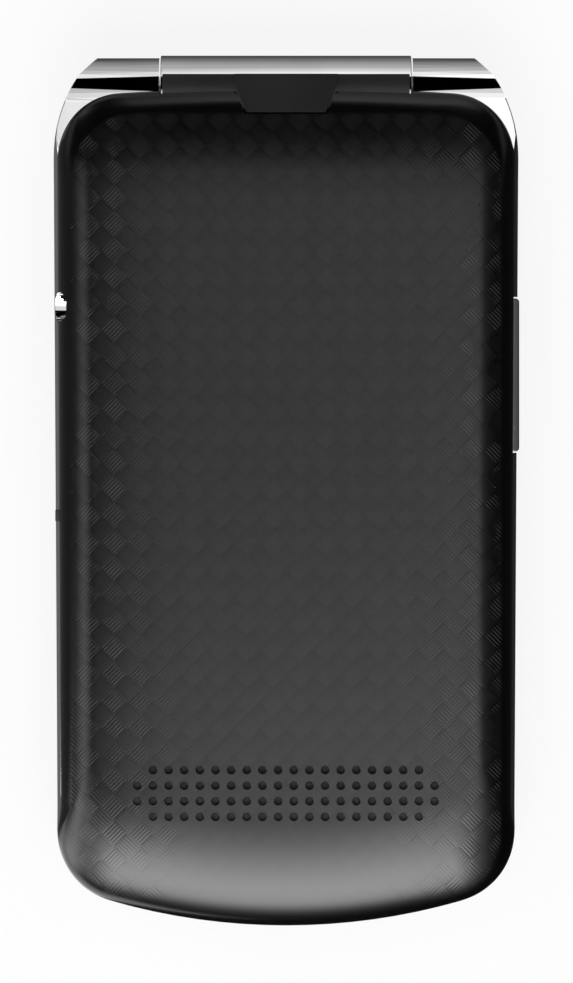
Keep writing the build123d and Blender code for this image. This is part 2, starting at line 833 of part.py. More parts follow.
def battery():
    low = battery_low
    pack = bar(battery_width / 2, (battery_foot_y, battery_head_y), (low, low + battery_thickness))
    return fillet(pack.edges().filter_by(Axis.Y), battery_corner)


def loudspeaker():
    z = (speaker_low, speaker_low + speaker_height)
    box = plate(speaker_length, speaker_depth, speaker_corner, grille_y, z)
    length, depth = speaker_length - 2 * speaker_rim, speaker_depth - 2 * speaker_rim
    return box - plate(length, depth, speaker_corner, grille_y, (z[1] - speaker_dish, z[1] + past))


def vibration_motor():
    end = motor_foot_y + motor_length
    can = rod_y(motor_radius, motor_x, (motor_foot_y, end), motor_z)
    can = fillet(can.edges(), motor_edge)
    shaft_y = (end - motor_shaft_seat, end + past)
    shaft_hole = rod_y(motor_shaft_radius + running_gap, motor_x, shaft_y, motor_z)
    return can - shaft_hole


def vibration_weight():
    start = motor_foot_y + motor_length + weight_gap
    y = (start, start + weight_length)
    weight = rod_y(weight_radius, motor_x, y, motor_z)
    reach = 2 * weight_radius
    weight &= block((motor_x - reach, motor_x + reach), y, (motor_z - reach, motor_z + fit_gap))
    hub = rod_y(motor_shaft_radius + weight_hub_wall, motor_x, y, motor_z)
    shaft_y = (start - motor_shaft_seat, start + shaft_tip)
    return weight + hub + rod_y(motor_shaft_radius, motor_x, shaft_y, motor_z)


def antenna():
    foot = foot_y + cover_step + cover_wall
    z = (floor_high, floor_high + antenna_height)
    carrier = bar(antenna_half_length, (foot, foot + antenna_depth), z)
    return (carrier & cover_room(2 * fit_gap + face_gap)) - housing_rim()


def housing_rim():
    step = frame_wall + bay_wall + 2 * fit_gap
    outside = bar(half_width + past, (foot_y - past, 0), (floor_low, thickness))
    return outside - slab(step, pocket_head_y, frame_inner_corner, (0, thickness + past))


def usb_port():
    half, z = usb_width / 2, (board_middle - usb_height / 2, board_middle + usb_height / 2)
    end = usb_foot_y + usb_depth
    shell = bar(half, (usb_foot_y, end), z)
    shell = fillet(shell.edges().filter_by(Axis.Y), usb_corner)
    inside_y = (usb_foot_y - past, end - usb_back_wall)
    shell -= bar(half - usb_wall, inside_y, (z[0] + usb_wall, z[1] - usb_wall))
    tongue_z = (board_middle - usb_tongue_thickness / 2, board_middle + usb_tongue_thickness / 2)
    return shell + bar(half - usb_tongue_inset, (usb_foot_y + usb_tongue_setback, end), tongue_z)


def audio_jack():
    start = -half_at(jack_y) + jack_collar_inset
    z = (jack_z - jack_height / 2, jack_z + jack_height / 2)
    body_x = (start + jack_collar_length, start + jack_length)
    body = block(body_x, (jack_y - jack_width / 2, jack_y + jack_width / 2), z)
    return body - rod_x(jack_bore_radius, (start - past, start + jack_length - jack_end_wall), jack_y, jack_z)


def jack_collar():
    start = -half_at(jack_y) + jack_collar_inset
    end = start + jack_collar_length
    collar = rod_x(jack_collar_radius, (start, end), jack_y, jack_z)
    return collar - rod_x(jack_bore_radius, (start - past, end + past), jack_y, jack_z)


def side_plug():
    outer = -half_at(plug_y)
    pin = rod_x(plug_radius, (outer, outer + frame_wall), plug_y, plug_z)
    low = block((outer - past, 0), (plug_y - past, plug_y + past), (0, frame_high + face_gap))
    return pin & low


def base_screw_group():
    screws = []
    for x, y in base_screws:
        screw = rod_z(screw_radius, x, y, (front_inside + base_screw_tip, floor_high))
        head = rod_z(screw_head_radius, x, y, (floor_high, floor_high + screw_head_height))
        along, across = screw_slot_half_length, screw_slot_half_width
        z = (floor_high + screw_head_height - screw_slot_depth, thickness)
        cross = block((x - along, x + along), (y - across, y + across), z)
        cross += block((x - across, x + across), (y - along, y + along), z)
        screws.append(screw + head - cross)
    return Compound(screws)


def lid_neck():
    down = math.radians(neck_angle)
    touch_y = hinge_y - centre_barrel_radius * math.sin(down)
    touch_z = hinge_z - centre_barrel_radius * math.cos(down)
    points = [
        (lid_head_y - neck_start, neck_low),
        (lid_head_y - neck_bend, neck_low),
        (touch_y, touch_z),
        (hinge_y, hinge_z),
        (lid_head_y + neck_reach, lid_thickness),
        (lid_head_y - neck_start, lid_thickness),
    ]
    barrel = rod_x(centre_barrel_radius + face_gap, (-half_width, half_width))
    return profile_yz(points, barrel_half_length) - barrel


def lid_flex_room():
    half = lid_flex_width / 2 + 0.4
    middle = (chamber_start_x + chamber_end_x) / 2
    x = (middle - half, middle + half)
    low = block(x, (lid_board_head_y + 3, lid_head_y + 0.5), (lid_board_high - 0.2, lid_board_high + 1.6))
    line = Line((lid_head_y - 1, lid_board_high + 0.6), (hinge_y - 1, hinge_z - 1.2))
    ramp = Pos(x[0], 0, 0) * extrude(Plane.YZ * trace(line, 1.8), x[1] - x[0])
    return low + ramp


def lid_outer_cover():
    shell = pillow(lid_step, lid_head_y, lid_corner_radius, lid_split, -lid_split, lid_runs)
    rise = -(lid_split - shell_wall)
    inside_step, inside_head = lid_step + shell_wall, lid_head_y - shell_wall
    shell -= pillow(inside_step, inside_head, lid_corner_radius - 1, lid_split, rise, lid_runs)
    neck = lid_neck() & bar(half_width, (0, head_y), (0, lid_split))
    shell += neck
    window_z = face_gap + window_thickness
    window = (outer_window_width + 0.15, outer_window_length + 0.15)
    shell -= plate(*window, window_corner, outer_display_y, (-1, window_z))
    shell -= plate(outer_view_width, outer_view_length, 1.0, outer_display_y, (-1, shell_wall + 1))
    shell -= rod_z(lens_radius + lens_ring_width + face_gap, 0, camera_y, (-1, shell_wall + 1))
    for x, y in lid_screws:
        shell += rod_z(boss_radius, x, y, (shell_wall - 0.4, lid_split))
        shell -= rod_z(screw_radius, x, y, (shell_wall + 0.8, lid_split))
    for x in (-lid_board_width / 2 + 1.8, lid_board_width / 2 - 1.8):
        for y in (lid_board_foot_y + 6, lid_board_head_y - 3):
            shell += rod_z(post_radius, x, y, (shell_wall - 0.2, lid_board_low))
    return shell - lid_flex_room()


def lid_inner_cover():
    cover = slab(lid_step, lid_head_y, lid_corner_radius, (inner_cover_low, lid_thickness))
    cover = fillet(cover.faces().sort_by(Axis.Z)[-1].edges(), lid_edge_fillet)
    cover -= slab(lid_step + shell_wall, lid_head_y - shell_wall, lid_corner_radius - 1,
                  (inner_cover_low - 1, inner_cover_inside))
    neck = lid_neck() & bar(half_width, (lid_head_y - 2, head_y), (inner_cover_low, lid_thickness))
    cover += neck
    cover -= plate(main_window_width + 0.15, main_window_length + 0.15, window_corner, main_display_y,
                   (window_seat - face_gap, thickness))
    cover -= plate(main_view_width, main_view_length, 0.6, main_display_y, (0, thickness))
    for n in range(earpiece_slot_count):
        x = (n - (earpiece_slot_count - 1) / 2) * earpiece_slot_length * 1.35
        slot = SlotOverall(earpiece_slot_length, earpiece_slot_width)
        cover -= Pos(x, earpiece_y, 0) * extrude(slot, thickness)
    for x, y in lid_screws:
        cover += rod_z(boss_radius, x, y, (inner_cover_low, inner_cover_inside + 0.2))
        cover -= rod_z(screw_radius + face_gap, x, y, (0, thickness))
        cover -= rod_z(bumper_radius + face_gap, x, y, (screw_seat, thickness))
    return cover - lid_flex_room()


def lid_screw_group():
    screws = []
    for x, y in lid_screws:
        shank = rod_z(screw_radius, x, y, (shell_wall + 1.2, screw_seat))
        head = rod_z(screw_head_radius, x, y, (screw_seat, screw_seat + screw_head_height))
        screws.append(shank + head)
    return Compound(screws)


def bumpers():
    low = screw_seat + screw_head_height
    pads = []
    for x, y in lid_screws:
        pad = rod_z(bumper_radius, x, y, (low, lid_thickness + bumper_proud))
        pads.append(fillet(pad.edges().sort_by(Axis.Z)[-1], 0.15))
    return Compound(pads)


def main_window():
    z = (window_seat, window_seat + window_thickness)
    return plate(main_window_width, main_window_length, window_corner - 0.1, main_display_y, z)


def main_display():
    z = (lid_board_high + face_gap, lid_board_high + face_gap + main_display_thickness)
    return plate(main_display_width, main_display_length, 0.5, main_display_y, z)


def outer_window():
    z = (face_gap, face_gap + window_thickness - face_gap)
    return plate(outer_window_width, outer_window_length, window_corner - 0.1, outer_display_y, z)


def outer_display():
    z = (shell_wall + face_gap, shell_wall + face_gap + outer_display_thickness)
    return plate(outer_display_width, outer_display_length, 0.4, outer_display_y, z)


def camera_ring():
    ring = rod_z(lens_radius + lens_ring_width, 0, camera_y, (face_gap, shell_wall))
    return ring - rod_z(lens_radius, 0, camera_y, (-1, shell_wall + 1))


def camera_lens():
    return rod_z(lens_radius, 0, camera_y, (face_gap + 0.15, shell_wall))


def camera_module():
    z = (shell_wall, shell_wall + camera_height)
    return plate(camera_size, camera_size, 0.4, camera_y, z)


def lid_board():
    middle = (lid_board_foot_y + lid_board_head_y) / 2
    length = lid_board_head_y - lid_board_foot_y
    board = plate(lid_board_width, length, 2.0, middle, (lid_board_low, lid_board_high))
    half = camera_size / 2 + 0.2
    return board - bar(half, (camera_y - half, camera_y + half), (0, thickness))


def earpiece():
    z = (lid_board_high, lid_board_high + earpiece_height)
    return plate(earpiece_length, earpiece_depth, 2.0, earpiece_y, z)


def lid_magnet():
    half = magnet_size / 2
    return block((magnet_x - half, magnet_x + half), (magnet_y - half, magnet_y + half),
                 (shell_wall, shell_wall + magnet_thickness))


def hinge_barrel():
    end = barrel_half_length
    barrel = rod_x(centre_barrel_radius, (-end, end))
    barrel -= rod_x(cartridge_radius + face_gap, (-end - 1, cartridge_end_x + face_gap))
    barrel -= rod_x(cartridge_radius - 1.2, (cartridge_end_x - 1, chamber_start_x + 1))
    barrel -= rod_x(centre_barrel_radius - 0.9, (chamber_start_x, chamber_end_x))
    barrel -= rod_x(bush_radius + running_gap, (chamber_end_x - 1, end + 1))
    return barrel - lid_flex_room()


def hinge_housing():
    x = (cartridge_start_x, cartridge_end_x)
    tube = rod_x(cartridge_radius, x)
    tube -= rod_x(cartridge_radius - cartridge_wall, (x[0] + cartridge_wall, x[1] - cartridge_wall))
    tube -= rod_x(drive_neck_radius + running_gap, (x[0] - 1, x[0] + 2))
    return tube - rod_x(hinge_rod_radius + running_gap, (x[1] - 2, x[1] + 1))


def hinge_shaft():
    disc_start = cartridge_start_x + cartridge_wall + face_gap
    disc = (disc_start, disc_start + cam_disc_length)
    start = -knuckle_start_x
    shaft = drive_shape(face_gap, (start - drive_length + 0.2, start))
    shaft += rod_x(drive_neck_radius, (start - 0.1, disc[0] + 0.1))
    shaft += rod_x(cartridge_radius - cartridge_wall - running_gap, disc)
    shaft += rod_x(hinge_rod_radius, (disc[1] - 0.1, cartridge_end_x + 0.5))
    return shaft + rod_x(cartridge_radius - 1.4, (cartridge_end_x + 0.15, cartridge_end_x + 0.65))


def cam_span():
    start = cartridge_start_x + cartridge_wall + cam_disc_length + 2 * face_gap
    return (start, start + cam_length)


def hinge_cam():
    cam = rod_x(cartridge_radius - cartridge_wall, cam_span())
    return cam - rod_x(hinge_rod_radius + running_gap, (cam_span()[0] - 1, cam_span()[1] + 1))


def hinge_spring():
    coil_radius = (hinge_rod_radius + cartridge_radius - cartridge_wall) / 2
    start = cam_span()[1] + spring_wire_radius
    length = cartridge_end_x - cartridge_wall - spring_wire_radius - start
    path = Helix(length / spring_turns, length, coil_radius)
    wire = Plane(path @ 0, z_dir=path % 0) * Circle(spring_wire_radius)
    coil = sweep(wire, path)
    return Pos(start, hinge_y, hinge_z) * Rot(0, 90, 0) * coil


def hinge_bush():
    x = (chamber_end_x, knuckle_start_x + bush_seat)
    return rod_x(bush_radius, x) - rod_x(bush_radius - bush_wall, (x[0] - 1, x[1] + 1))


def lid_flex():
    middle = (chamber_start_x + chamber_end_x) / 2
    x = (middle - lid_flex_width / 2, middle + lid_flex_width / 2)
    z = lid_board_high + flex_thickness / 2
    curl = 1.5
    route = Polyline((lid_board_head_y - 2, z), (lid_head_y - 1.5, z), (hinge_y - 1.6, hinge_z - 1.6))
    strip = strip_yz(route, x)
    ring = rod_x(curl + 0.9, x) - rod_x(curl + 0.9 - flex_thickness, (x[0] - 1, x[1] + 1))
    return strip + ring


def base_flex():
    roll = bush_radius - bush_wall - 0.25
    end = knuckle_start_x + bush_seat + 0.3 + base_flex_width
    tube = rod_x(roll, (chamber_end_x + 0.3, end))
    tube -= rod_x(roll - flex_thickness, (0, half_width))
    z = board_high + flex_thickness / 2
    route = Polyline((hinge_y - roll + 0.1, hinge_z), (pocket_head_y + 1, z), (board_head_y - 5, z))
    return tube + strip_yz(route, (end - base_flex_width, end))


pieces = {
    "side_frame": side_frame,
    "front_cover": front_cover,
    "rear_housing": rear_housing,
    "battery_cover": battery_cover,
    "speaker_mesh": speaker_mesh,
    "volume_key": volume_key,
    "nav_ring": nav_ring,
    "keypad_membrane": keypad_membrane,
    "main_board": main_board,
    "shield_cans": shield_cans,
    "card_holder": card_holder,
    "battery": battery,
    "loudspeaker": loudspeaker,
    "vibration_motor": vibration_motor,
    "vibration_weight": vibration_weight,
    "antenna": antenna,
    "usb_port": usb_port,
    "audio_jack": audio_jack,
    "jack_collar": jack_collar,
    "side_plug": side_plug,
    "base_screws": base_screw_group,
    "lid_outer_cover": lid_outer_cover,
    "lid_inner_cover": lid_inner_cover,
    "lid_screws": lid_screw_group,
    "lid_bumpers": bumpers,
    "main_window": main_window,
    "main_display": main_display,
    "outer_window": outer_window,
    "outer_display": outer_display,
    "camera_ring": camera_ring,
    "camera_lens": camera_lens,
    "camera_module": camera_module,
    "lid_board": lid_board,
    "earpiece": earpiece,
    "lid_magnet": lid_magnet,
    "hinge_barrel": hinge_barrel,
    "hinge_housing": hinge_housing,
    "hinge_shaft": hinge_shaft,
    "hinge_cam": hinge_cam,
    "hinge_spring": hinge_spring,
    "hinge_bush": hinge_bush,
    "lid_flex": lid_flex,
    "base_flex": base_flex,
}

for name, make in pieces.items():
    export_step(make(), f"parts/{name}.step")
for name, (kind, x, y) in key_places().items():
    export_step(key(kind, x, y), f"parts/{name}.step")
print("nodes", len(pieces) + len(key_places()))
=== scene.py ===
import json
import math

import bmesh
import bpy
from mathutils import Matrix, Vector
from mathutils.geometry import delaunay_2d_cdt


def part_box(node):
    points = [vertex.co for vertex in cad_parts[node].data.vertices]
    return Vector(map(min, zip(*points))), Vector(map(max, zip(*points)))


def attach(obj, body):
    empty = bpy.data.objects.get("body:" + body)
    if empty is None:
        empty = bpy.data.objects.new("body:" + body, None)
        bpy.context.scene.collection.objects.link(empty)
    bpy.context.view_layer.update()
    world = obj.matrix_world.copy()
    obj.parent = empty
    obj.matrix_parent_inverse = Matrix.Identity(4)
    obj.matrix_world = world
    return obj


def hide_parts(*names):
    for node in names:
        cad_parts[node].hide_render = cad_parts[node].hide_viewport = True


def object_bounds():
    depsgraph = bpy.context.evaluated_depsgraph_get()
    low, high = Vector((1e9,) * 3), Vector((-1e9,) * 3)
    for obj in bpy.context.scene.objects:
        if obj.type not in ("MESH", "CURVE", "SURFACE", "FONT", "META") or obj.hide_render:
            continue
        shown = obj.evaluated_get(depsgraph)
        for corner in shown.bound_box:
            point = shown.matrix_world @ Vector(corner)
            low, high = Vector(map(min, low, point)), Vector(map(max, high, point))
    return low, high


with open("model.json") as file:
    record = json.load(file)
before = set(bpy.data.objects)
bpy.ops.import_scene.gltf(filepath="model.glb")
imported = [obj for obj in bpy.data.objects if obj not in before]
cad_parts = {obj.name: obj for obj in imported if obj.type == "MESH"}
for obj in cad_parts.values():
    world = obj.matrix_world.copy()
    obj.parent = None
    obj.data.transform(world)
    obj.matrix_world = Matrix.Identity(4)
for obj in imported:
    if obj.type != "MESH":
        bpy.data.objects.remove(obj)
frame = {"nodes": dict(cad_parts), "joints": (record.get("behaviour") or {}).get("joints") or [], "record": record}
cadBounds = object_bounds()
mm = 0.001
hinge = Vector(next(joint["pos_m"] for joint in frame["joints"] if joint["name"] == "lid_hinge"))
print("frame loaded:", len(frame["nodes"]), "nodes")


# shader maths

class Wire:
    # one output socket, which arithmetic can be written on
    def __init__(self, surface, socket):
        self.surface = surface
        self.socket = socket

    def combine(self, operation, *values):
        kind = self.socket.type
        if kind == "RGBA":
            colours = [value if isinstance(value, (Wire, tuple)) else (value, value, value, 1) for value in values]
            return self.surface.node("ShaderNodeMix", {"data_type": "RGBA", "blend_type": operation},
                                     {0: 1.0, 6: colours[0], 7: colours[1]}, 2)
        if kind == "VECTOR":
            vectors = [value if isinstance(value, (Wire, tuple)) else (value, value, value) for value in values]
            return self.surface.node("ShaderNodeVectorMath", {"operation": operation},
                                     dict(enumerate(vectors)))
        return self.surface.node("ShaderNodeMath", {"operation": operation}, dict(enumerate(values)))

    def __add__(self, other):
        return self.combine("ADD", self, other)

    def __radd__(self, other):
        return self.combine("ADD", other, self)

    def __sub__(self, other):
        return self.combine("SUBTRACT", self, other)

    def __rsub__(self, other):
        return self.combine("SUBTRACT", other, self)

    def __mul__(self, other):
        return self.combine("MULTIPLY", self, other)

    def __rmul__(self, other):
        return self.combine("MULTIPLY", other, self)

    def __truediv__(self, other):
        return self.combine("DIVIDE", self, other)

    def __gt__(self, other):
        return self.combine("GREATER_THAN", self, other)

    def __lt__(self, other):
        return self.combine("LESS_THAN", self, other)

    def __abs__(self):
        return self.combine("ABSOLUTE", self)

    def function(self, operation, *others):
        return self.combine(operation, self, *others)

    def fade(self, low, high):
        # 0 at low, 1 at high, smooth between them
        settings = {"interpolation_type": "SMOOTHSTEP"}
        return self.surface.node("ShaderNodeMapRange", settings, {0: self, 1: low, 2: high, 3: 0.0, 4: 1.0})

    def mix(self, start, end):
        # this wire picks between two colours
        colours = [value if isinstance(value, Wire) else rgba(value) for value in (start, end)]
        return self.surface.node("ShaderNodeMix", {"data_type": "RGBA"}, {0: self, 6: colours[0], 7: colours[1]}, 2)


def rgba(colour):
    if isinstance(colour, (int, float)):
        return (colour, colour, colour, 1.0)
    return (*colour[:3], 1.0)


class Surface:
    # one material, or the world, and the nodes in it
    def __init__(self, owner):
        self.owner = owner
        owner.use_nodes = True
        self.tree = owner.node_tree
        self.tree.nodes.clear()

    def node(self, kind, settings=None, inputs=None, output=0):
        made = self.tree.nodes.new(kind)
        for name, value in (settings or {}).items():
            if name == "stops":
                ramp = made.color_ramp
                while len(ramp.elements) < len(value):
                    ramp.elements.new(0.5)
                for element, (position, level) in zip(ramp.elements, value):
                    element.position = position
                    element.color = rgba(level)
            else:
                setattr(made, name, value)
        for name, value in (inputs or {}).items():
            if isinstance(value, Wire):
                self.tree.links.new(value.socket, made.inputs[name])
            else:
                made.inputs[name].default_value = value
        return Wire(self, made.outputs[output])

    def place(self):
        # x, y and z in the phone's own frame, in millimetres
        position = self.node("ShaderNodeTexCoord", output=3) * (1 / mm)
        return [self.node("ShaderNodeSeparateXYZ", inputs={0: position}, output=axis) for axis in range(3)]

    def ramp(self, value, stops):
        # a smooth run of levels along a value
        first, last = stops[0][0], stops[-1][0]
        most = max(level for _, level in stops)
        shares = [((place - first) / (last - first), level / most) for place, level in stops]
        share = (value - first) / (last - first)
        return self.node("ShaderNodeValToRGB", {"stops": shares}, {0: share}) * most

    def noise(self, scale, detail=3.0, stretch=(1, 1, 1)):
        # scale is in turns per millimetre
        position = self.node("ShaderNodeTexCoord", output=3) * tuple(scale / mm * share for share in stretch)
        return self.node("ShaderNodeTexNoise", inputs={"Vector": position, "Scale": 1.0, "Detail": detail,
                                                       "Roughness": 0.5})

    def bump(self, height, depth):
        # height is in the wire's own units, depth is what one unit stands for, in millimetres
        return self.node("ShaderNodeBump", inputs={"Height": height, "Distance": depth * mm, "Strength": 1.0})

    def seen(self):
        # 1 where the camera, a mirror or a pane looks at it, 0 where it only lights other things
        rays = [self.node("ShaderNodeLightPath", output=name)
                for name in ("Is Camera Ray", "Is Glossy Ray", "Is Transmission Ray")]
        return rays[0] + rays[1] + rays[2]

    def pastCorners(self, middle, half, corner):
        # the distance from the straight-sided heart of a rounded rectangle; its outline lies at the corner's radius
        x, y, _ = self.place()
        past = [(abs(value - centre) - (reach - corner)).function("MAXIMUM", 0.0)
                for value, centre, reach in zip((x, y), middle, half)]
        return (past[0] * past[0] + past[1] * past[1]).function("SQRT")

    def principled(self, **inputs):
        names = {"colour": "Base Color", "roughness": "Roughness", "metallic": "Metallic", "coat": "Coat Weight",
                 "coatRoughness": "Coat Roughness", "alpha": "Alpha", "normal": "Normal",
                 "specular": "Specular IOR Level"}
        values = {names[name]: value for name, value in inputs.items()}
        self.output(self.node("ShaderNodeBsdfPrincipled", inputs=values))
        return self.owner

    def output(self, shader):
        kind = "ShaderNodeOutputWorld" if isinstance(self.owner, bpy.types.World) else "ShaderNodeOutputMaterial"
        end = self.tree.nodes.new(kind)
        self.tree.links.new(shader.socket, end.inputs[0])


def newSurface(name):
    return Surface(bpy.data.materials.new(name))


# the studio

studio = {
    "photoHeight": 983,
    "pixelSize": 0.1185 * mm,
    "viewCentre": (0.06 * mm, -0.21 * mm),
    "measuredHeight": 10.5 * mm,
    "cameraDistance": 0.9,
    "sensor": 36.0,
    "floorSize": 6.0,
    "floorHeight": -0.05 * mm,
    "floorWhite": 0.9,
    "floorGlow": 0.85,
    "skyLight": 0.5,
    "lampDistance": 0.7,
    "lampSize": 0.45,
    "keyTilt": 33.0,
    "keyPower": 2.8,
    "fillFrom": (-0.8, 0.2, 0.6),
    "fillPower": 0.5,
}


def linked(name, data):
    made = bpy.data.objects.new(name, data)
    bpy.context.collection.objects.link(made)
    return made


def makeCamera():
    data = bpy.data.cameras.new("camera")
    camera = linked("camera", data)
    viewHeight = studio["photoHeight"] * studio["pixelSize"]
    data.sensor_width = studio["sensor"]
    data.lens = studio["sensor"] * studio["cameraDistance"] / viewHeight
    data.clip_start = 0.01
    data.clip_end = 20.0
    camera.location = (*studio["viewCentre"], studio["measuredHeight"] + studio["cameraDistance"])
    bpy.context.scene.camera = camera


def meshFrom(name, points, faces):
    mesh = bpy.data.meshes.new(name)
    mesh.from_pydata(points, [], faces)
    mesh.validate()
    return mesh


def meshOf(shape, name):
    mesh = bpy.data.meshes.new(name)
    shape.to_mesh(mesh)
    shape.free()
    return mesh


def scaled(points):
    # points in millimetres, taken to the scene's metres
    return [tuple(value * mm for value in point) for point in points]


def rectangle(left, low, right, high):
    return [(left, low), (right, low), (right, high), (left, high)]


def bandFaces(first, second, count):
    # faces between two rings of points, which are given by the numbers of their first points
    return [(first + n, first + (n + 1) % count, second + (n + 1) % count, second + n) for n in range(count)]


def hidden(thing, *uses):
    for use in uses:
        setattr(thing, "visible_" + use, False)


def makeFloor():
    half = studio["floorSize"] / 2
    corners = [(*place, studio["floorHeight"]) for place in rectangle(-half, -half, half, half)]
    floor = linked("floor", meshFrom("floor", corners, [(0, 1, 2, 3)]))
    paper = newSurface("paper")
    grain = paper.noise(0.4).fade(0.2, 0.8).mix(studio["floorWhite"], studio["floorWhite"] + 0.02)
    lit = paper.node("ShaderNodeBsdfDiffuse", inputs={"Color": grain})
    glow = paper.node("ShaderNodeEmission", inputs={"Color": rgba(1.0), "Strength": 1.0})
    share = paper.seen() * studio["floorGlow"]
    paper.output(paper.node("ShaderNodeMixShader", inputs={0: share, 1: lit, 2: glow}))
    floor.data.materials.append(paper.owner)


def makeSky():
    world = bpy.data.worlds.new("sky")
    bpy.context.scene.world = world
    sky = Surface(world)
    strength = sky.seen() * (1 - studio["skyLight"]) + studio["skyLight"]
    sky.output(sky.node("ShaderNodeBackground", inputs={"Color": rgba(1.0), "Strength": strength}))


def makeLamp(name, direction, power):
    data = bpy.data.lights.new(name, "AREA")
    data.energy = power
    data.size = studio["lampSize"]
    lamp = linked(name, data)
    way = Vector(direction).normalized()
    lamp.location = way * studio["lampDistance"]
    lamp.rotation_euler = way.to_track_quat("Z", "Y").to_euler()
    hidden(lamp, "camera", "glossy")


# what polished and satin surfaces mirror: a light tent, by the angle off the vertical, in degrees
tent = {
    "radius": 0.55,
    "segments": (48, 32),
    "widthShare": 0.25,  # how much of a place's distance to the side counts in its lengthways angle
    # negative angles lie towards the foot, positive ones past the hinge
    "footToHinge": [(-90, 0.05), (-77, 0.1), (-67, 0.8), (-60, 4.0), (-54, 8.6), (-42, 10.3), (-30, 7.4),
                    (-20, 4.4), (-12, 2.4), (-5, 1.45), (0, 1.12), (21, 1.05), (25, 0.0), (59, 0.0),
                    (61, 1.4), (75, 0.85), (90, 0.45)],
    # negative angles lie to the left, positive ones to the right, where the volume key is
    "leftToRight": [(-90, 0.03), (-75, 0.12), (-60, 0.75), (-50, 1.0), (-40, 0.75), (-29, 0.1), (-16, 0.02),
                    (-11, 0.25), (-5, 0.7), (0, 1.0), (16, 0.95), (24, 0.6), (36, 0.1), (60, 0.01), (90, 0.0)],
    # the same for what lies well towards the foot
    "leftToRightLow": [(-90, 0.15), (-60, 0.5), (-52, 0.5), (-40, 0.22), (-30, 0.32), (-20, 0.92), (-14, 1.0),
                       (14, 1.0), (20, 0.65), (29, 0.12), (45, 0.0), (90, 0.0)],
    "lowFrom": (14.0, 34.0),
    # the tabletop past the hinge, by the distance from the phone in millimetres
    "pastHinge": [(0, 0.02), (7, 0.06), (14, 0.16), (35, 0.34), (100, 0.45)],
    "tableLeft": 0.12,
    "tableElsewhere": 0.02,
    "cornerGlow": 2.4,  # low down past the left corner of the foot
    "cornerLeft": (23.0, 28.0),
    "cornerFoot": (41.0, 48.0),
    "tableGap": 1.0 * mm,
    "tableHeight": 0.05 * mm,
}


def mirroredOnly(thing, surface, level):
    # the thing glows, and only mirrors show it
    surface.output(surface.node("ShaderNodeEmission", inputs={"Color": level, "Strength": 1.0}))
    surface.owner.cycles.emission_sampling = "NONE"
    thing.data.materials.append(surface.owner)
    hidden(thing, "camera", "diffuse", "shadow", "volume_scatter")


def makeTent():
    shell = bmesh.new()
    around, over = tent["segments"]
    bmesh.ops.create_uvsphere(shell, u_segments=around, v_segments=over, radius=tent["radius"])
    under = [vertex for vertex in shell.verts if vertex.co.z < -mm]
    bmesh.ops.delete(shell, geom=under, context="VERTS")
    dome = linked("tent", meshOf(shell, "tent"))
    cloth = newSurface("tentCloth")
    x, y, z = cloth.place()
    lengthways = y.function("ARCTAN2", (x * x * tent["widthShare"] + z * z).function("SQRT")) * (180 / math.pi)
    sideways = x.function("ARCTAN2", (y * y + z * z).function("SQRT")) * (180 / math.pi)
    low = (-1 * lengthways).fade(*tent["lowFrom"])
    side = cloth.ramp(sideways, tent["leftToRight"]) * (1 - low) + cloth.ramp(sideways, tent["leftToRightLow"]) * low
    mirroredOnly(dome, cloth, cloth.ramp(lengthways, tent["footToHinge"]) * side)


def makeTable():
    low, high = cadBounds
    gap = tent["tableGap"]
    reach = tent["radius"]
    outline = rectangle(low.x - gap, low.y - gap, high.x + gap, high.y + gap)
    outline += rectangle(-reach, -reach, reach, reach)
    points = [(*point, tent["tableHeight"]) for point in outline]
    table = linked("table", meshFrom("table", points, bandFaces(0, 4, 4)))
    top = newSurface("tableTop")
    x, y, _ = top.place()
    past = y - high.y / mm
    left = (x < low.x / mm) * tent["tableLeft"]
    corner = (-1 * x).fade(*tent["cornerLeft"]) * (-1 * y).fade(*tent["cornerFoot"]) * tent["cornerGlow"]
    level = top.ramp(past, tent["pastHinge"]) * (past > 0.0) + left + corner + tent["tableElsewhere"]
    mirroredOnly(table, top, level)


bpy.context.scene.view_settings.view_transform = "Standard"
makeCamera()
makeFloor()
makeSky()
makeTent()
makeTable()
keyTilt = math.radians(studio["keyTilt"])
makeLamp("keyLamp", (0, -math.sin(keyTilt), math.cos(keyTilt)), studio["keyPower"])
makeLamp("fillLamp", studio["fillFrom"], studio["fillPower"])
print("studio ready")


# finishes

weave = {
    "cell": 2.2,  # side of one crossing, in millimetres
    "ridges": 6,
    "ridgeDepth": 0.011,
    "ridgeEnds": (0.36, 0.5),  # shares of a crossing between which a ridge runs out
    "wornTo": 0.35,  # what is left of the ridges in the middle, where hands rub them
    "wornWidth": (10.0, 21.0),
    "patchScale": 0.35,
    "patchLevels": (0.4, 0.35),  # how much the ridges differ from patch to patch, and what all of them have
    "tones": (0.0014, 0.0084),
    # the painted highlight on the ridges near both sides: where it starts, the size of its patches, and its colour
    "paleFrom": (17.0, 22.0),
    "paleScale": 0.3,
    "paleTone": 0.032,
    "grainShare": 0.15,
    "fieldEdge": 0.6,
    "fieldHalf": (25.6, 46.6),
    "fieldMiddle": (0.0, -2.0),
    "fieldCorner": 8.0,
}


def weaveCells(surface):
    # where a place lies in its crossing, and which of the two strand directions is on top there
    x, y, _ = surface.place()
    across = math.sqrt(2) * weave["cell"]
    u = (x + y) / across
    v = (y - x) / across
    crossing = (u.function("FLOOR") + v.function("FLOOR")) / 2.0
    turned = crossing.function("FRACT") * 2.0
    inU = u.function("FRACT") - 0.5
    inV = v.function("FRACT") - 0.5
    along = inU * turned + inV * (1 - turned)
    sideways = inV * turned + inU * (1 - turned)
    return along, sideways, turned


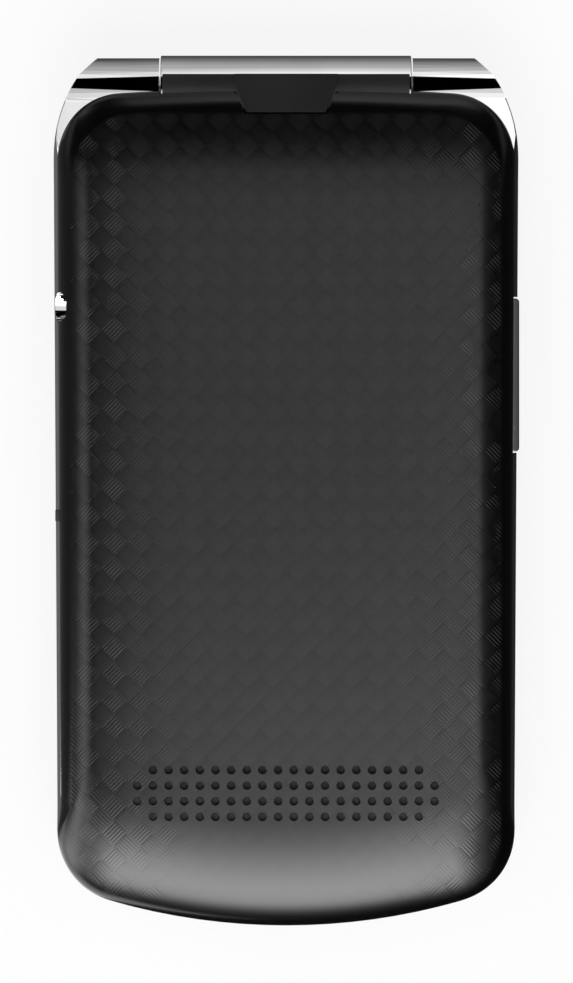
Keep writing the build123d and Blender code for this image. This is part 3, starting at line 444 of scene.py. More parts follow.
def softTouch():
    surface = newSurface("softTouch")
    along, sideways, turned = weaveCells(surface)
    # 1 on the woven field, 0 on the smooth border
    corner = weave["fieldCorner"]
    past = surface.pastCorners(weave["fieldMiddle"], weave["fieldHalf"], corner)
    field = 1 - past.fade(corner - weave["fieldEdge"], corner)
    ridge = (sideways * (2 * math.pi * weave["ridges"])).function("COSINE") * 0.5 + 0.5
    edge = 1 - abs(along).fade(*weave["ridgeEnds"])
    across = surface.place()[0]
    worn = abs(across).fade(*weave["wornWidth"]) * (1 - weave["wornTo"]) + weave["wornTo"]
    differing, shared = weave["patchLevels"]
    patchy = surface.noise(weave["patchScale"], detail=2.0).fade(0.35, 0.6) * differing + shared
    hatch = ridge * edge * field * worn * patchy
    mottle = surface.noise(0.25, detail=4.0)
    grain = surface.noise(9.0, detail=2.0)
    strand = (sideways * math.pi).function("COSINE") * edge
    colour = ((mottle.fade(0.3, 0.7) * 0.3 + strand * 0.35 + turned * 0.35) * field).mix(*weave["tones"])
    # painted highlight: the ridges of the strands that fall out towards each side are painted paler along both sides of
    # the cover, a glint standing in for the light from the foot that they catch
    glintStrands = (across > 0.0) * (turned * -2 + 1) + turned
    pale = ridge.fade(0.55, 0.95) * edge * field * abs(across).fade(*weave["paleFrom"]) * glintStrands
    glintPatches = surface.noise(weave["paleScale"], detail=2.0).fade(0.4, 0.6)
    # the painted highlight is mixed into the cover's colour here
    colour = (pale * glintPatches).mix(colour, weave["paleTone"])
    height = hatch + grain * weave["grainShare"]
    return surface.principled(colour=colour, roughness=0.2 + grain * 0.04 + field * 0.02,
                              specular=0.4, normal=surface.bump(height, weave["ridgeDepth"]))


def moulded(name, dark, light, roughness, grainDepth=0.006, coat=0.0):
    surface = newSurface(name)
    grain = surface.noise(6.0)
    mottle = surface.noise(0.15, detail=2.0)
    return surface.principled(colour=mottle.fade(0.25, 0.75).mix(dark, light),
                              roughness=roughness + (grain - 0.5) * 0.12, coat=coat,
                              normal=surface.bump(grain, grainDepth))


def metal(name, colour, roughness, stretch=(1, 1, 1), scratchDepth=0.0006):
    surface = newSurface(name)
    brush = surface.noise(3.0, detail=4.0, stretch=stretch)
    haze = surface.noise(0.12, detail=2.0)
    dim = tuple(share * 0.93 for share in colour)
    return surface.principled(colour=haze.fade(0.3, 0.7).mix(dim, colour), metallic=1.0,
                              roughness=roughness + brush * roughness * 0.6,
                              normal=surface.bump(brush, scratchDepth))


def printedGlass(name, half, middle, corner):
    # clear over the screen, printed black round it
    surface = newSurface(name)
    blur = 0.05
    border = surface.pastCorners(middle, half, corner).fade(corner - blur, corner + blur)
    smudge = surface.noise(0.12, detail=4.0)
    return surface.principled(colour=border.mix((0.02, 0.022, 0.026), 0.004), roughness=0.03 + smudge * 0.05,
                              alpha=border * 0.65 + 0.35, coat=1.0, coatRoughness=0.02)


def checks(surface, pitch):
    # a fine chequered swell, from 0 to 1
    x, y, _ = surface.place()
    turn = 2 * math.pi / pitch
    return ((x * turn).function("SINE") * (y * turn).function("SINE")) * 0.5 + 0.5


def panel():
    surface = newSurface("displayPanel")
    lines = checks(surface, 0.24)
    return surface.principled(colour=lines.mix((0.01, 0.012, 0.016), (0.02, 0.023, 0.03)), roughness=0.25)


def board():
    surface = newSurface("boardGreen")
    x, y, _ = surface.place()
    tracks = ((x * 6.0).function("SINE") + (y * 5.0 + x * 0.7).function("SINE")).fade(0.9, 1.1)
    colour = tracks.mix((0.008, 0.07, 0.03), (0.02, 0.14, 0.06))
    return surface.principled(colour=colour, roughness=0.35, coat=0.4, normal=surface.bump(tracks, 0.02))


def cloth():
    surface = newSurface("speakerCloth")
    threads = checks(surface, 0.18)
    return surface.principled(colour=threads.mix(0.004, 0.02), roughness=0.8, normal=surface.bump(threads, 0.03))


chromeTone = (0.86, 0.86, 0.87)
steelTone = (0.55, 0.55, 0.56)
finishes = {
    "soft_touch_cover": softTouch(),
    "dark_shell": moulded("shellBlack", 0.012, 0.018, 0.34),
    "chrome_plate": metal("chromePlate", chromeTone, 0.035, scratchDepth=0.0002),
    "window_glass": moulded("plainGlass", 0.004, 0.006, 0.05, coat=1.0, grainDepth=0.0),
    "display_panel": panel(),
    "key_plastic": moulded("keyBlack", 0.014, 0.02, 0.3),
    "black_rubber": moulded("rubberBlack", 0.01, 0.016, 0.7, grainDepth=0.015),
    "circuit_board": board(),
    "bright_steel": metal("brightSteel", steelTone, 0.25, stretch=(1, 0.1, 1), scratchDepth=0.001),
    "inner_plastic": moulded("innerBlack", 0.01, 0.02, 0.5),
    "flex_film": moulded("amberFilm", (0.35, 0.14, 0.02), (0.45, 0.2, 0.04), 0.3),
    "battery_wrap": moulded("greyWrap", 0.12, 0.16, 0.38),
    "speaker_cloth": cloth(),
}
nodeSlots = {part["node"]: part["material_slot"] for part in frame["record"]["subparts"]}
nodeBodies = {node: body for body, nodes in frame["record"]["behaviour"]["bodies"].items() for node in nodes}


def dressed(thing, finish):
    thing.data.materials.clear()
    thing.data.materials.append(finish)


for nodeName, thing in frame["nodes"].items():
    dressed(thing, finishes[nodeSlots[nodeName]])
print("finishes ready:", len(finishes))


# shared ways of making pieces

def placed(thing, node, finish=None, sharpAngle=35.0):
    # the piece stands for its node: it rides on the same body and takes the same slot
    dressed(thing, finish or finishes[nodeSlots[node]])
    thing.data.polygons.foreach_set("use_smooth", [True] * len(thing.data.polygons))
    thing.data.set_sharp_from_angle(angle=math.radians(sharpAngle))
    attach(thing, nodeBodies[node])
    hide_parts(node)
    return thing


def evaluated(thing):
    # a mesh of the thing as it shows, with its modifiers worked in
    bpy.context.view_layer.update()
    return bpy.data.meshes.new_from_object(thing.evaluated_get(bpy.context.evaluated_depsgraph_get()))


def applied(thing):
    result = evaluated(thing)
    thing.modifiers.clear()
    thing.data = result
    return thing


def evened(thing):
    # flats shade as flats, beside the rounded edges
    step = thing.modifiers.new("evened", "WEIGHTED_NORMAL")
    step.keep_sharp = True
    return applied(thing)


def closed(name, points, faces):
    # a closed body whose faces all look outwards
    shape = bmesh.new()
    shape.from_mesh(meshFrom(name, points, faces))
    bmesh.ops.recalc_face_normals(shape, faces=shape.faces)
    return linked(name, meshOf(shape, name))


softening = {"weld": 0.001, "flat": 0.4, "sharp": 30.0, "segments": 2}


def welded(node):
    # the node's own shape, with its doubled corners joined
    shape = bmesh.new()
    shape.from_mesh(frame["nodes"][node].data)
    bmesh.ops.remove_doubles(shape, verts=shape.verts, dist=softening["weld"] * mm)
    return shape


def softened(node, width, ending="", reshape=None, foldX=None):
    # the node's own shape with its sharp edges broken; a shape that is folded gets an edge along the fold first
    shape = welded(node)
    bmesh.ops.dissolve_limit(shape, angle_limit=math.radians(softening["flat"]), verts=shape.verts,
                             edges=shape.edges)
    if foldX:
        bmesh.ops.bisect_plane(shape, geom=[*shape.verts, *shape.edges, *shape.faces],
                               plane_co=(foldX * mm, 0, 0), plane_no=(1, 0, 0))
    if reshape:
        for vertex in shape.verts:
            vertex.co = reshape(vertex.co)
    sharp = [edge for edge in shape.edges
             if len(edge.link_faces) == 2 and edge.calc_face_angle(0) > math.radians(softening["sharp"])]
    bmesh.ops.bevel(shape, geom=sharp, offset=width * mm, offset_type="OFFSET", segments=softening["segments"],
                    profile=0.5, affect="EDGES", clamp_overlap=True)
    name = node.replace("_", "-") + ending
    evened(placed(linked(name, meshOf(shape, name)), node))


def cut(body, tools):
    for tool in tools:
        step = body.modifiers.new("cut", "BOOLEAN")
        step.operation = "DIFFERENCE"
        step.solver = "MANIFOLD"
        step.object = tool
    applied(body)
    for tool in tools:
        bpy.data.objects.remove(tool)


# tools for cutting, in millimetres

def rodTool(name, radius, ends, y, z, sides=96):
    # a round bar along X
    shape = bmesh.new()
    middle = scaled([((ends[0] + ends[1]) / 2, y, z)])[0]
    bmesh.ops.create_cone(shape, cap_ends=True, segments=sides, radius1=radius * mm, radius2=radius * mm,
                          depth=(ends[1] - ends[0]) * mm,
                          matrix=Matrix.Translation(middle) @ Matrix.Rotation(math.pi / 2, 4, "Y"))
    return linked(name, meshOf(shape, name))


def ballTool(name, radius, middle, around, over):
    shape = bmesh.new()
    bmesh.ops.create_uvsphere(shape, u_segments=around, v_segments=over, radius=radius * mm,
                              matrix=Matrix.Translation(scaled([middle])[0]))
    return linked(name, meshOf(shape, name))


def prism(name, outline, low, high, axis="Z"):
    # a flat outline pushed along Z, or along X with the outline in Y and Z
    count = len(outline)
    points = [(*point, level) if axis == "Z" else (level, *point) for level in (low, high) for point in outline]
    faces = [tuple(range(count)), tuple(range(2 * count - 1, count - 1, -1))]
    faces += [(n, n + count, (n + 1) % count + count, (n + 1) % count) for n in range(count)]
    return closed(name, scaled(points), faces)


# battery cover

cover = {
    "step": 0.5,
    "bodyHalf": 27.5,
    "taper": 0.45,
    "shoulderY": 39.0,
    "footY": -51.5,
    "footBow": 75.0,
    "footCorner": 8.9,
    "headY": 47.4,
    "headBow": 1.1,
    "headCorner": 7.3,
    "sideRun": 4.2,
    "headRun": 2.4,
    "footRun": 11.5,
    "edgeZ": 13.1,
    "topZ": 18.4,
    "wall": 0.9,
    "sideFall": 1.3,  # how far the field would fall by the phone's side, as a sixth power
    "footFall": 0.9,  # and by this far past the start of its slow fall to the foot, as a square
    "footFallFrom": 5.0,
    "footFallRun": 50.0,
    "slopeY": 33.0,  # from here it curves down to the hinge
    "slopeRadius": 38.0,
    "footReach": 0.45,  # the edge lies this much further out round the foot
    "reachFrom": (37.0, 41.0),
    "headFullness": 0.4,
    "fullFrom": (41.0, 46.0),
    "cornerInset": 0.5,  # how much less round a corner is, for every millimetre further in
    "cornerLoss": 1.5,  # and at the innermost ring
    "rings": 20,
    "endPoints": 60,
    "cornerPoints": 40,
    "sidePoints": 260,
    "sideSpread": 1.3,  # over 1, they lie closer together towards the foot
    "gridStep": 0.28,
    "roomStep": 3.0,
    "gridReach": 80.0,
    "basketDepth": 0.006,
    "skirt": 0.3,
}


def sideHalf(y):
    length = cover["shoulderY"] - cover["footY"] - cover["footCorner"]
    return cover["bodyHalf"] - cover["taper"] * (cover["shoulderY"] - y) / length


def arcCorner(start, middle, end, count):
    # a round corner from start to end whose tangents meet at middle
    start, middle, end = Vector(start), Vector(middle), Vector(end)
    weight = math.cos((middle - start).angle(end - middle) / 2)
    points = []
    for n in range(count):
        share = n / count
        a, b, c = (1 - share) ** 2, 2 * weight * share * (1 - share), share ** 2
        points.append((start * a + middle * b + end * c) / (a + b + c))
    return points


def coverRing(inset, share):
    # the cover's outline, drawn in by the inset, and by a share of the way over the rounded border
    step = cover["step"] + inset + cover["sideRun"] * share
    foot = (cover["footRun"] + cover["footReach"] - cover["sideRun"]) * share - cover["footReach"]
    headStep = inset + cover["headRun"] * share
    headCorner = cover["headCorner"] - inset * cover["cornerInset"] - cover["cornerLoss"] * share
    footCorner = cover["footCorner"] - cover["step"] - inset - cover["cornerLoss"] * share
    reach = cover["footReach"] * (1 - share)
    footEdge = cover["footY"] + step + foot
    bow = cover["footBow"] - step - foot
    head = cover["headY"] - headStep
    sag = cover["headBow"]

    def footLine(x):
        return footEdge + bow - math.sqrt(bow ** 2 - x ** 2)

    def side(y):
        return sideHalf(y) - step + reach * smooth(-y, *cover["reachFrom"])

    headHalf = side(head - sag)
    headRadius = (headHalf ** 2 + sag ** 2) / (2 * sag)

    def headLine(x):
        return head - headRadius + math.sqrt(headRadius ** 2 - x ** 2)

    footHalf = side(footLine(side(cover["footY"])))
    footX = footHalf - footCorner
    for _ in range(4):
        # the round corner touches the foot's arc at footX, where the arc has turned by this much
        turn = math.asin(footX / bow)
        run = footCorner * math.tan((math.pi / 2 - turn) / 2)
        footX = footHalf - run * math.cos(turn)
    lowCorner = (footHalf, footLine(footX) + run * math.sin(turn))
    highCorner = (headHalf, headLine(headHalf))
    lowSide = (side(lowCorner[1] + run), lowCorner[1] + run)
    highSide = (side(highCorner[1] - headCorner), highCorner[1] - headCorner)
    headX = headHalf - headCorner
    ends, sides = cover["endPoints"], cover["sidePoints"]
    right = [Vector((x, footLine(x))) for x in (footX * n / ends for n in range(ends))]
    right += arcCorner((footX, footLine(footX)), lowCorner, lowSide, cover["cornerPoints"])
    rise = highSide[1] - lowSide[1]
    heights = [lowSide[1] + rise * (n / sides) ** cover["sideSpread"] for n in range(sides)]
    right += [Vector((side(y), y)) for y in heights]
    right += arcCorner(highSide, highCorner, (headX, headLine(headX)), cover["cornerPoints"])
    right += [Vector((x, headLine(x))) for x in (headX * (1 - n / ends) for n in range(ends))]
    left = [Vector((-point.x, point.y)) for point in reversed(right[1:])]
    return right + [Vector((0, head))] + left


def basket(x, y):
    # how far the woven field stands above its lowest line, from 0 to 1
    across = math.sqrt(2) * weave["cell"]
    u, v = (x + y) / across, (y - x) / across
    turned = (math.floor(u) + math.floor(v)) % 2
    along = (u if turned else v) % 1 - 0.5
    sideways = (v if turned else u) % 1 - 0.5
    return math.cos(math.pi * along) ** 0.7 * (1 - (2 * abs(sideways)) ** 6)


def smooth(value, low, high):
    share = min(max((value - low) / (high - low), 0), 1)
    return share * share * (3 - 2 * share)


def coverTop(x, y):
    fall = cover["sideFall"] * (abs(x) / cover["bodyHalf"]) ** 6
    fall += cover["footFall"] * (min(y - cover["footFallFrom"], 0) / cover["footFallRun"]) ** 2
    past = max(y - cover["slopeY"], 0)
    fall += cover["slopeRadius"] - math.sqrt(cover["slopeRadius"] ** 2 - past ** 2)
    return cover["topZ"] - fall


def inField(x, y):
    corner = weave["fieldCorner"]
    reach = [max(abs(value - middle) - half + corner, 0)
             for value, middle, half in zip((x, y), weave["fieldMiddle"], weave["fieldHalf"])]
    return min(max((corner - math.hypot(*reach)) / weave["fieldEdge"], 0), 1)


def coverBody(name, inset, floorZ, relief, gridStep):
    # a closed cushion shape, smaller by the inset: rounded border rings, a crowned field and a flat underside

    def heightAt(x, y):
        top = coverTop(x, y) - inset
        if relief:
            top -= cover["basketDepth"] * (1 - basket(x, y)) * inField(x, y)
        return top

    points, faces = [], []
    for n in range(cover["rings"] + 1):
        turn = math.pi / 2 * n / cover["rings"]
        ring = coverRing(inset, 1 - math.cos(turn))
        for point in ring:
            fullness = 1 - (1 - cover["headFullness"]) * smooth(point.y, *cover["fullFrom"])
            rise = heightAt(point.x, point.y) - cover["edgeZ"]
            points.append((point.x, point.y, cover["edgeZ"] + rise * math.sin(turn) ** fullness))
    count = len(ring)
    last = count * cover["rings"]
    for start in range(0, last, count):
        faces += bandFaces(start, start + count, count)
    border = [Vector(point[:2]) for point in points[last:]]
    (lowX, highX), (lowY, highY) = [(min(values), max(values)) for values in zip(*border)]
    # the field's grid runs along the strands of the weave
    field = []
    reach, root = int(cover["gridReach"] / gridStep), math.sqrt(2)
    for i in range(-reach, reach):
        for j in range(-reach, reach):
            x, y = (i - j) * gridStep / root, (i + j) * gridStep / root
            if lowX < x < highX and lowY < y < highY:
                field.append(Vector((x, y)))
    loop = [(n, (n + 1) % count) for n in range(count)]
    made, _, triangles, origins, _, _ = delaunay_2d_cdt(border + field, loop, [], 1, 1e-5)
    numbers = []
    for place, origin in zip(made, origins):
        if origin and origin[0] < count:
            numbers.append(last + origin[0])
        else:
            numbers.append(len(points))
            points.append((place.x, place.y, heightAt(place.x, place.y)))
    faces += [tuple(numbers[n] for n in triangle) for triangle in triangles]
    low = len(points)
    points += [(x, y, floorZ) for x, y, _ in points[:count]]
    faces += bandFaces(low, 0, count)
    faces.append(tuple(reversed(range(low, low + count))))
    return linked(name, meshFrom(name, scaled(points), faces))


# what is cut away from the cover, with ends that lie well outside it
cutaway = {
    # for the frame's crest and the knuckles, from the side: y and z
    "crest": [(-60, 10), (-60, cover["edgeZ"]), (36, cover["edgeZ"]), (46.5, 14.0), (60, 14.0), (60, 10)],
    "crestEnds": (-40, 40),
    # for the lip over the barrel
    "lipRadius": 6.0,
    "lipEnds": (-15, 15),
    # for the tongue of the housing, from above: x and y
    "notch": [(-6.35, 60), (-6.35, 48.2), (-4.85, 44.25), (4.85, 44.25), (6.35, 48.2), (6.35, 60)],
    "notchEnds": (8, 25),
}
socket = {"y": 21.55, "z": 14.5, "scoop": 1.85, "radius": 1.72, "slotHalf": 1.719, "ends": (-32.0, -25.9),
          "foot": 8.0}
plug = {"y": -3.05, "z": 12.9, "scoop": 1.0}


def makeCover():
    low = cover["edgeZ"]
    body = coverBody("coverSkin", 0.0, low - cover["skirt"], True, cover["gridStep"])
    cut(body, [coverBody("coverRoom", cover["wall"], low - 2 * cover["skirt"], False, cover["roomStep"]),
               prism("crestTool", cutaway["crest"], *cutaway["crestEnds"], "X"),
               rodTool("lipTool", cutaway["lipRadius"], cutaway["lipEnds"], hinge.y / mm, hinge.z / mm, 256),
               prism("notchTool", cutaway["notch"], *cutaway["notchEnds"])])
    y, z, half = socket["y"], socket["z"], socket["slotHalf"]
    start, end = socket["ends"]
    slot = rectangle(start, y - half, end, y + half)
    cut(body, [grilleTool(),
               ballTool("scoopTool", socket["scoop"], (-sideHalf(y), y, z), 64, 48),
               rodTool("collarTool", socket["radius"], socket["ends"], y, z),
               prism("slotTool", slot, socket["foot"], z),
               ballTool("plugTool", plug["scoop"], (-sideHalf(plug["y"]), plug["y"], plug["z"]), 48, 32)])
    placed(body, "battery_cover", sharpAngle=40.0)
    print("cover:", len(body.data.polygons), "faces")


grille = {"pitch": 1.84, "rowPitch": 1.835, "radius": 0.45, "y": -35.72, "rim": 0.07,
          "counts": (18, 20, 20, 18), "bottom": 15.0, "sides": 32}


def lathed(profile, centre, sides):
    # a closed shape turned about a vertical line, from (radius, height) pairs; it starts and ends on the line
    points, faces = [], []
    for radius, height in profile[1:-1]:
        for n in range(sides):
            turn = 2 * math.pi * n / sides
            points.append((centre[0] + radius * math.cos(turn), centre[1] + radius * math.sin(turn), height))
    for ring in range(len(profile) - 3):
        faces += bandFaces(ring * sides, (ring + 1) * sides, sides)
    for height, ring, turned in ((profile[0][1], 0, True), (profile[-1][1], len(profile) - 3, False)):
        middle = len(points)
        points.append((centre[0], centre[1], height))
        for n in range(sides):
            near, far = ring * sides + n, ring * sides + (n + 1) % sides
            faces.append((far, near, middle) if turned else (near, far, middle))
    return points, faces


def grilleTool():
    points, faces = [], []
    for row, count in enumerate(grille["counts"]):
        y = grille["y"] + grille["rowPitch"] * (1.5 - row)
        for n in range(count):
            x = grille["pitch"] * (n - (count - 1) / 2)
            top = coverTop(x, y)
            radius, wide = grille["radius"], grille["radius"] + grille["rim"]
            profile = [(0, grille["bottom"]), (radius, grille["bottom"]), (radius, top - grille["rim"]),
                       (wide, top), (wide, top + 1), (0, top + 1)]
            holePoints, holeFaces = lathed(profile, (x, y), grille["sides"])
            faces += [tuple(corner + len(points) for corner in face) for face in holeFaces]
            points += holePoints
    return linked("grilleTool", meshFrom("grilleTool", scaled(points), faces))


makeCover()


# hinge, frame and the small fittings on the base

# how wide the broken edges are
rounding = {
    "volume_key": 0.12,
    "jack_collar": 0.15,
    "rear_housing": 0.1,
    "side_plug": 0.12,
    "front_cover": 0.08,
    "nav_ring": 0.06,
    "lid_outer_cover": 0.08,
    "lid_inner_cover": 0.08,
    "camera_ring": 0.12,
    "main_window": 0.08,
    "outer_window": 0.08,
    "usb_port": 0.04,
    "lid_bumpers": 0.05,
}
capRounding = 0.05

rim = {
    "height": 13.0,
    "rounding": (0.9, 1.6),  # how far in from the side, and how far down
    "headRounding": (0.15, 0.2),  # the same on the shoulders, near the knuckles
    "narrowing": (39.0, 42.5),
    "footNarrowing": (37.5, 40.5),  # the same again where the cover reaches out over it
    "climbFrom": 36.0,
    "climbTo": 46.5,
    "climb": 0.9,
    "end": 46.35,
    "near": 0.02,  # both ends of its edges lie this near its height
    "level": 0.9,  # the ledge's normal is at least this upright, and the wall's at most the next
    "upright": 0.3,
    "footFrom": -40.0,  # past here the outward side is more and more the foot's
    "footPull": 3,
    "sortedRound": -20.0,
    "spacing": 1.5,  # the long straight sides are divided this finely
    "steps": 12,
    "margin": 0.3,  # how far the cutting tool stands out past the frame
    "clear": (0.01, 0.002, 0.001),  # keeps its faces off the frame's own
}


def rimHeight(y):
    return rim["height"] + rim["climb"] * max(y - rim["climbFrom"], 0) / (rim["climbTo"] - rim["climbFrom"])


def rimPath(shape):
    # the corners of the frame's outer upper edge, in order, from the left knuckle round the foot to the right one
    found = set()
    for edge in shape.edges:
        ends = [vertex.co / mm for vertex in edge.verts]
        if len(edge.link_faces) != 2 or any(abs(end.z - rimHeight(end.y)) > rim["near"] for end in ends):
            continue
        wall, ledge = sorted(edge.link_faces, key=lambda face: face.normal.z)
        middle = (ends[0] + ends[1]) / 2
        outward = Vector((middle.x, min(middle.y - rim["footFrom"], 0) * rim["footPull"], 0))
        standing = ledge.normal.z > rim["level"] and abs(wall.normal.z) < rim["upright"]
        if standing and wall.normal.dot(outward) > 0:
            found.update((round(end.x, 3), round(end.y, 3)) for end in ends if end.y < rim["end"])
    inOrder = sorted(found, key=lambda place: math.atan2(place[0], rim["sortedRound"] - place[1]))
    corners = [Vector(place) for place in inOrder]
    path = corners[:1]
    for start, end in zip(corners, corners[1:]):
        parts = math.ceil((end - start).length / rim["spacing"])
        path += [start.lerp(end, n / parts) for n in range(1, parts + 1)]
    return path


def rimTool(path):
    # what a rounded rim leaves off the frame's square one: a band swept round the outline
    points, count, margin = [], rim["steps"] + 6, rim["margin"]
    below, sideways, above = rim["clear"]
    for n, place in enumerate(path):
        before, after = path[max(n - 1, 0)], path[min(n + 1, len(path) - 1)]
        ways = [way.normalized() for way in (place - before, after - place) if way.length > 0]
        way = sum(ways, Vector((0, 0))).normalized()
        out = Vector((way.y, -way.x))
        slim = smooth(place.y, *rim["narrowing"]) + smooth(-place.y, *rim["footNarrowing"])
        inward, down = (wide * (1 - slim) + narrow * slim for wide, narrow in zip(rim["rounding"], rim["headRounding"]))
        height = rimHeight(place.y)
        section = [(margin, height - down - margin), (below, height - down - margin)]
        for step in range(rim["steps"] + 1):
            turn = math.pi / 2 * step / rim["steps"]
            section.append((inward * (math.cos(turn) - 1) + sideways, height - down * (1 - math.sin(turn)) + above))
        section += [(-inward, height + margin), (margin, height + margin), (margin, height)]
        points += [(*(place + out * outward), z) for outward, z in section]
    faces = []
    for n in range(len(path) - 1):
        faces += bandFaces(n * count, (n + 1) * count, count)
    faces += [tuple(reversed(range(count))), tuple(range(len(points) - count, len(points)))]
    return closed("rimTool", scaled(points), faces)


def makeFrame():
    shape = welded("side_frame")
    path = rimPath(shape)
    band = linked("frameBand", meshOf(shape, "frameBand"))
    cut(band, [rimTool(path)])
    evened(placed(band, "side_frame", sharpAngle=25.0))
    print("frame:", len(path), "rim corners,", len(band.data.polygons), "faces")


barrel = {"half": 14.85, "radius": 5.0, "bore": 4.1, "edge": 0.15, "edgeSteps": 4, "sides": 256}


def makeBarrel():
    # a turned tube about the hinge's axis, with its ends eased
    half, outer, bore, edge = barrel["half"], barrel["radius"], barrel["bore"], barrel["edge"]
    turns = [math.pi / 2 * n / barrel["edgeSteps"] for n in range(barrel["edgeSteps"] + 1)]
    ease = [(half - edge * (1 - math.sin(turn)), outer - edge * (1 - math.cos(turn))) for turn in turns]
    profile = [(half, bore), *reversed(ease)]
    profile += [(-x, radius) for x, radius in reversed(profile)]
    points, faces, sides, count = [], [], barrel["sides"], len(profile)
    for x, radius in profile:
        for n in range(sides):
            turn = 2 * math.pi * n / sides
            points.append((x * mm, hinge.y + radius * mm * math.cos(turn), hinge.z + radius * mm * math.sin(turn)))
    for ring in range(count):
        faces += bandFaces(ring * sides, (ring + 1) % count * sides, sides)
    evened(placed(closed("hinge-barrel", points, faces), "hinge_barrel"))


volumeKey = {"slopeFrom": 26.3, "slope": 20.5, "upper": 11.8}
collar = {"front": -24.2}  # it stands back in its recess, under the cover's border


def keySlope(place):
    # the key's upper face falls towards its outer edge
    past = max(place.x / mm - volumeKey["slopeFrom"], 0)
    if place.z / mm < volumeKey["upper"]:
        return place
    return place - Vector((0, 0, past * math.tan(math.radians(volumeKey["slope"])) * mm))


def collarBack(place):
    return Vector((max(place.x, collar["front"] * mm), place.y, place.z))


makeFrame()
makeBarrel()
reshaping = {"volume_key": {"reshape": keySlope, "foldX": volumeKey["slopeFrom"]},
             "jack_collar": {"reshape": collarBack}}
for node, width in rounding.items():
    softened(node, width, **reshaping.get(node, {}))
print("shells ready")


# keys

legend = {
    "digitSize": 4.3,
    "letterSize": 2.1,
    "digitShift": 2.9,  # towards the reader's left
    "letterShift": -2.6,
    "wordSize": 3.0,
    "thickness": 0.012,
    "lift": 0.006,
    "letters": {"key_2": "ABC", "key_3": "DEF", "key_4": "GHI", "key_5": "JKL", "key_6": "MNO", "key_7": "PQRS",
                "key_8": "TUV", "key_9": "WXYZ", "key_0": "+"},
    "digits": {"key_star": "*", "key_0": "0", "key_hash": "#"},
    "dash": (4.0, 0.55),
    "arrow": (8.1, 7.0, 0.95),  # from the ring's middle to its tip and to its base, and half of its width
}
legend["digits"].update({"key_" + str(n): str(n) for n in range(1, 10)})


def ink(name, colour):
    surface = newSurface(name)
    speck = surface.noise(4.0, detail=2.0)
    return surface.principled(colour=speck.fade(0.3, 0.8).mix(colour, tuple(share * 0.85 for share in colour)),
                              roughness=0.4 + speck * 0.1)


inks = {"pale": ink("paleInk", (0.72, 0.72, 0.74)), "grey": ink("greyInk", (0.4, 0.4, 0.42)),
        "green": ink("greenInk", (0.03, 0.42, 0.08)), "red": ink("redInk", (0.6, 0.03, 0.02)),
        "black": ink("blackInk", (0.02, 0.02, 0.02))}


def facing(node):
    # the middle of a key's face, just in front of it, for marks that are read from the front
    low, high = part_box(node)
    place = Vector(((low.x + high.x) / 2, (low.y + high.y) / 2, low.z - legend["lift"] * mm))
    return Matrix.Translation(place) @ Matrix.Rotation(math.pi, 4, "Y")


def textMesh(words, size, shift):
    curve = bpy.data.curves.new("words", "FONT")
    curve.body = words
    curve.size = size * mm
    curve.align_x = curve.align_y = "CENTER"
    curve.extrude = legend["thickness"] / 2 * mm
    thing = linked("words", curve)
    mesh = evaluated(thing)
    bpy.data.objects.remove(thing)
    mesh.transform(Matrix.Translation((-shift * mm, 0, 0)))
    return mesh


def outlineMesh(outlines):
    shape = bmesh.new()
    half = legend["thickness"] / 2 * mm
    for outline in outlines:
        corners = [shape.verts.new((x * mm, y * mm, -half)) for x, y in outline]
        face = shape.faces.new(corners)
        raised = bmesh.ops.extrude_face_region(shape, geom=[face])
        moved = [item for item in raised["geom"] if isinstance(item, bmesh.types.BMVert)]
        bmesh.ops.translate(shape, verts=moved, vec=(0, 0, 2 * half))
    bmesh.ops.recalc_face_normals(shape, faces=shape.faces)
    return meshOf(shape, "mark")


def printed(name, node, marks):
    # one piece of print on a key: pairs of mesh and ink, laid on the key's face
    whole = bmesh.new()
    mesh = bpy.data.meshes.new(name)
    for number, (mark, colour) in enumerate(marks):
        mark.transform(facing(node))
        before = len(whole.faces)
        whole.from_mesh(mark)
        whole.faces.ensure_lookup_table()
        for face in whole.faces[before:]:
            face.material_index = number
        mesh.materials.append(inks[colour])
    bmesh.ops.remove_doubles(whole, verts=whole.verts, dist=0.0005 * mm)
    whole.to_mesh(mesh)
    whole.free()
    thing = linked(name, mesh)
    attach(thing, nodeBodies[node])


handset = {"radius": 2.3, "thin": 0.5, "thick": 1.25, "swell": (0.55, 0.75), "halfAngle": 62, "drop": 0.65,
           "steps": 24}


def handsetOutline(turn):
    # a telephone handset seen from its side
    outer, inner = [], []
    for n in range(handset["steps"] + 1):
        along = 2 * n / handset["steps"] - 1
        angle = math.radians(90 - along * handset["halfAngle"] + turn)
        thickness = handset["thin"] + (handset["thick"] - handset["thin"]) * smooth(abs(along), *handset["swell"])
        for ring, radius in ((outer, handset["radius"]), (inner, handset["radius"] - thickness)):
            ring.append((radius * math.cos(angle), radius * math.sin(angle)))
    shift, angle = handset["radius"] * handset["drop"], math.radians(90 + turn)
    return [(x - math.cos(angle) * shift, y - math.sin(angle) * shift) for x, y in outer + inner[::-1]]


def arrowOutline(turn):
    tip, base, half = legend["arrow"]
    cos, sin = math.cos(math.radians(turn)), math.sin(math.radians(turn))
    return [(x * cos - y * sin, x * sin + y * cos) for x, y in ((tip, 0), (base, half), (base, -half))]


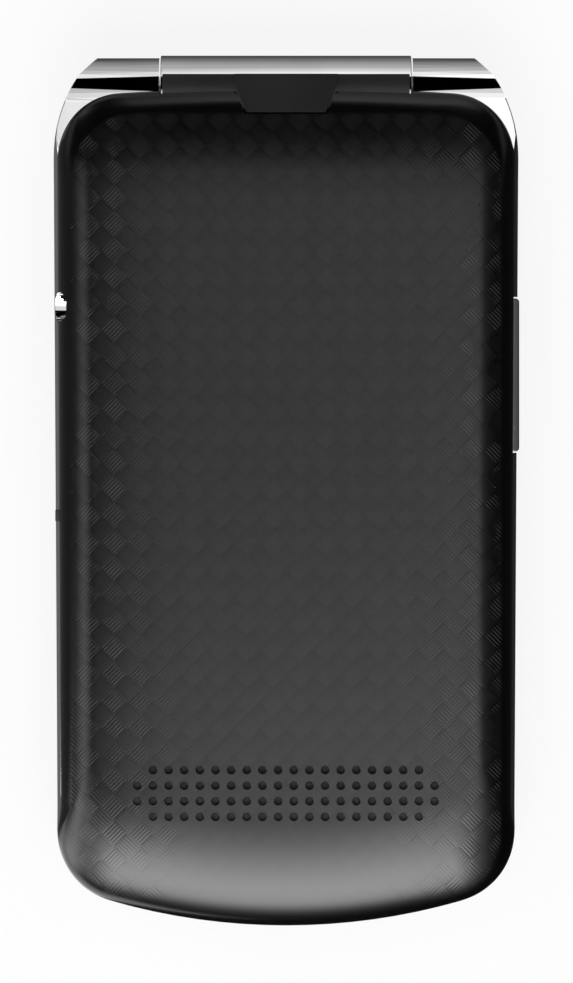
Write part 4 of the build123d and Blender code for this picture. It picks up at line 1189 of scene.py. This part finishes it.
def makeLegends():
    for node, digit in legend["digits"].items():
        letters = legend["letters"].get(node)
        marks = [(textMesh(digit, legend["digitSize"], legend["digitShift"] if letters else 0.0), "pale")]
        if letters:
            marks.append((textMesh(letters, legend["letterSize"], legend["letterShift"]), "grey"))
        printed(node.replace("key_", "legend-"), node, marks)
    printed("legend-ok", "key_ok", [(textMesh("OK", legend["wordSize"], 0.0), "pale")])
    half, thin = legend["dash"][0] / 2, legend["dash"][1] / 2
    for side in ("left", "right"):
        dash = outlineMesh([rectangle(-half, -thin, half, thin)])
        printed("legend-soft-" + side, "key_soft_" + side, [(dash, "pale")])
    printed("legend-call", "key_call", [(outlineMesh([handsetOutline(45)]), "green")])
    printed("legend-end", "key_end", [(outlineMesh([handsetOutline(0)]), "red")])
    printed("legend-arrows", "nav_ring", [(outlineMesh([arrowOutline(turn) for turn in (0, 90, 180, 270)]), "black")])


keyNodes = [node for node in frame["nodes"] if node.startswith("key_")]
for node in keyNodes:
    softened(node, capRounding, "-cap")
makeLegends()
print("keys ready:", len(keyNodes))


# windows, lens and displays

windows = {
    "main-window": {"half": (18.2, 24.4), "middle": (0.0, -5.5), "corner": 0.8},
    "outer-window": {"half": (12.8, 10.8), "middle": (0.0, 4.0), "corner": 1.0},
}
for name, window in windows.items():
    dressed(bpy.data.objects[name], printedGlass(name + "-glass", **window))

lens = {
    "y": 30.0,
    # radius and height of the lens stack, from its front: a bulged glass in a stepped black ring
    "front": [(0, 0.22), (0.5, 0.225), (1.0, 0.25), (1.5, 0.3), (1.9, 0.37), (2.05, 0.46), (2.15, 0.52), (2.3, 0.52),
              (2.4, 0.42), (2.75, 0.38), (2.85, 0.3), (3.1, 0.26), (3.2, 0.3), (3.2, 1.19), (0, 1.19)],
    "sides": 96,
    "ringPitch": 0.5,
    "ringsFrom": (1.3, 1.5),
    "pupilEdge": (0.7, 1.2),
}


def lensGlass():
    # dark rings round a small clear pupil
    surface = newSurface("lensGlass")
    x, y, _ = surface.place()
    away = (x * x + (y - lens["y"]) * (y - lens["y"])).function("SQRT")
    swell = (away * (2 * math.pi / lens["ringPitch"])).function("SINE")
    rings = swell.fade(0.6, 0.9) * away.fade(*lens["ringsFrom"])
    pupil = 1 - away.fade(*lens["pupilEdge"])
    colour = (rings * 0.5 + pupil * 0.5).mix((0.004, 0.004, 0.005), (0.03, 0.035, 0.06))
    return surface.principled(colour=colour, roughness=0.06 + rings * 0.2, coat=1.0, coatRoughness=0.02)


def makeLens():
    points, faces = lathed(lens["front"], (0, lens["y"]), lens["sides"])
    placed(closed("camera-glass", scaled(points), faces), "camera_lens", finish=lensGlass())


makeLens()
print("glass ready")

bpy.context.view_layer.update()
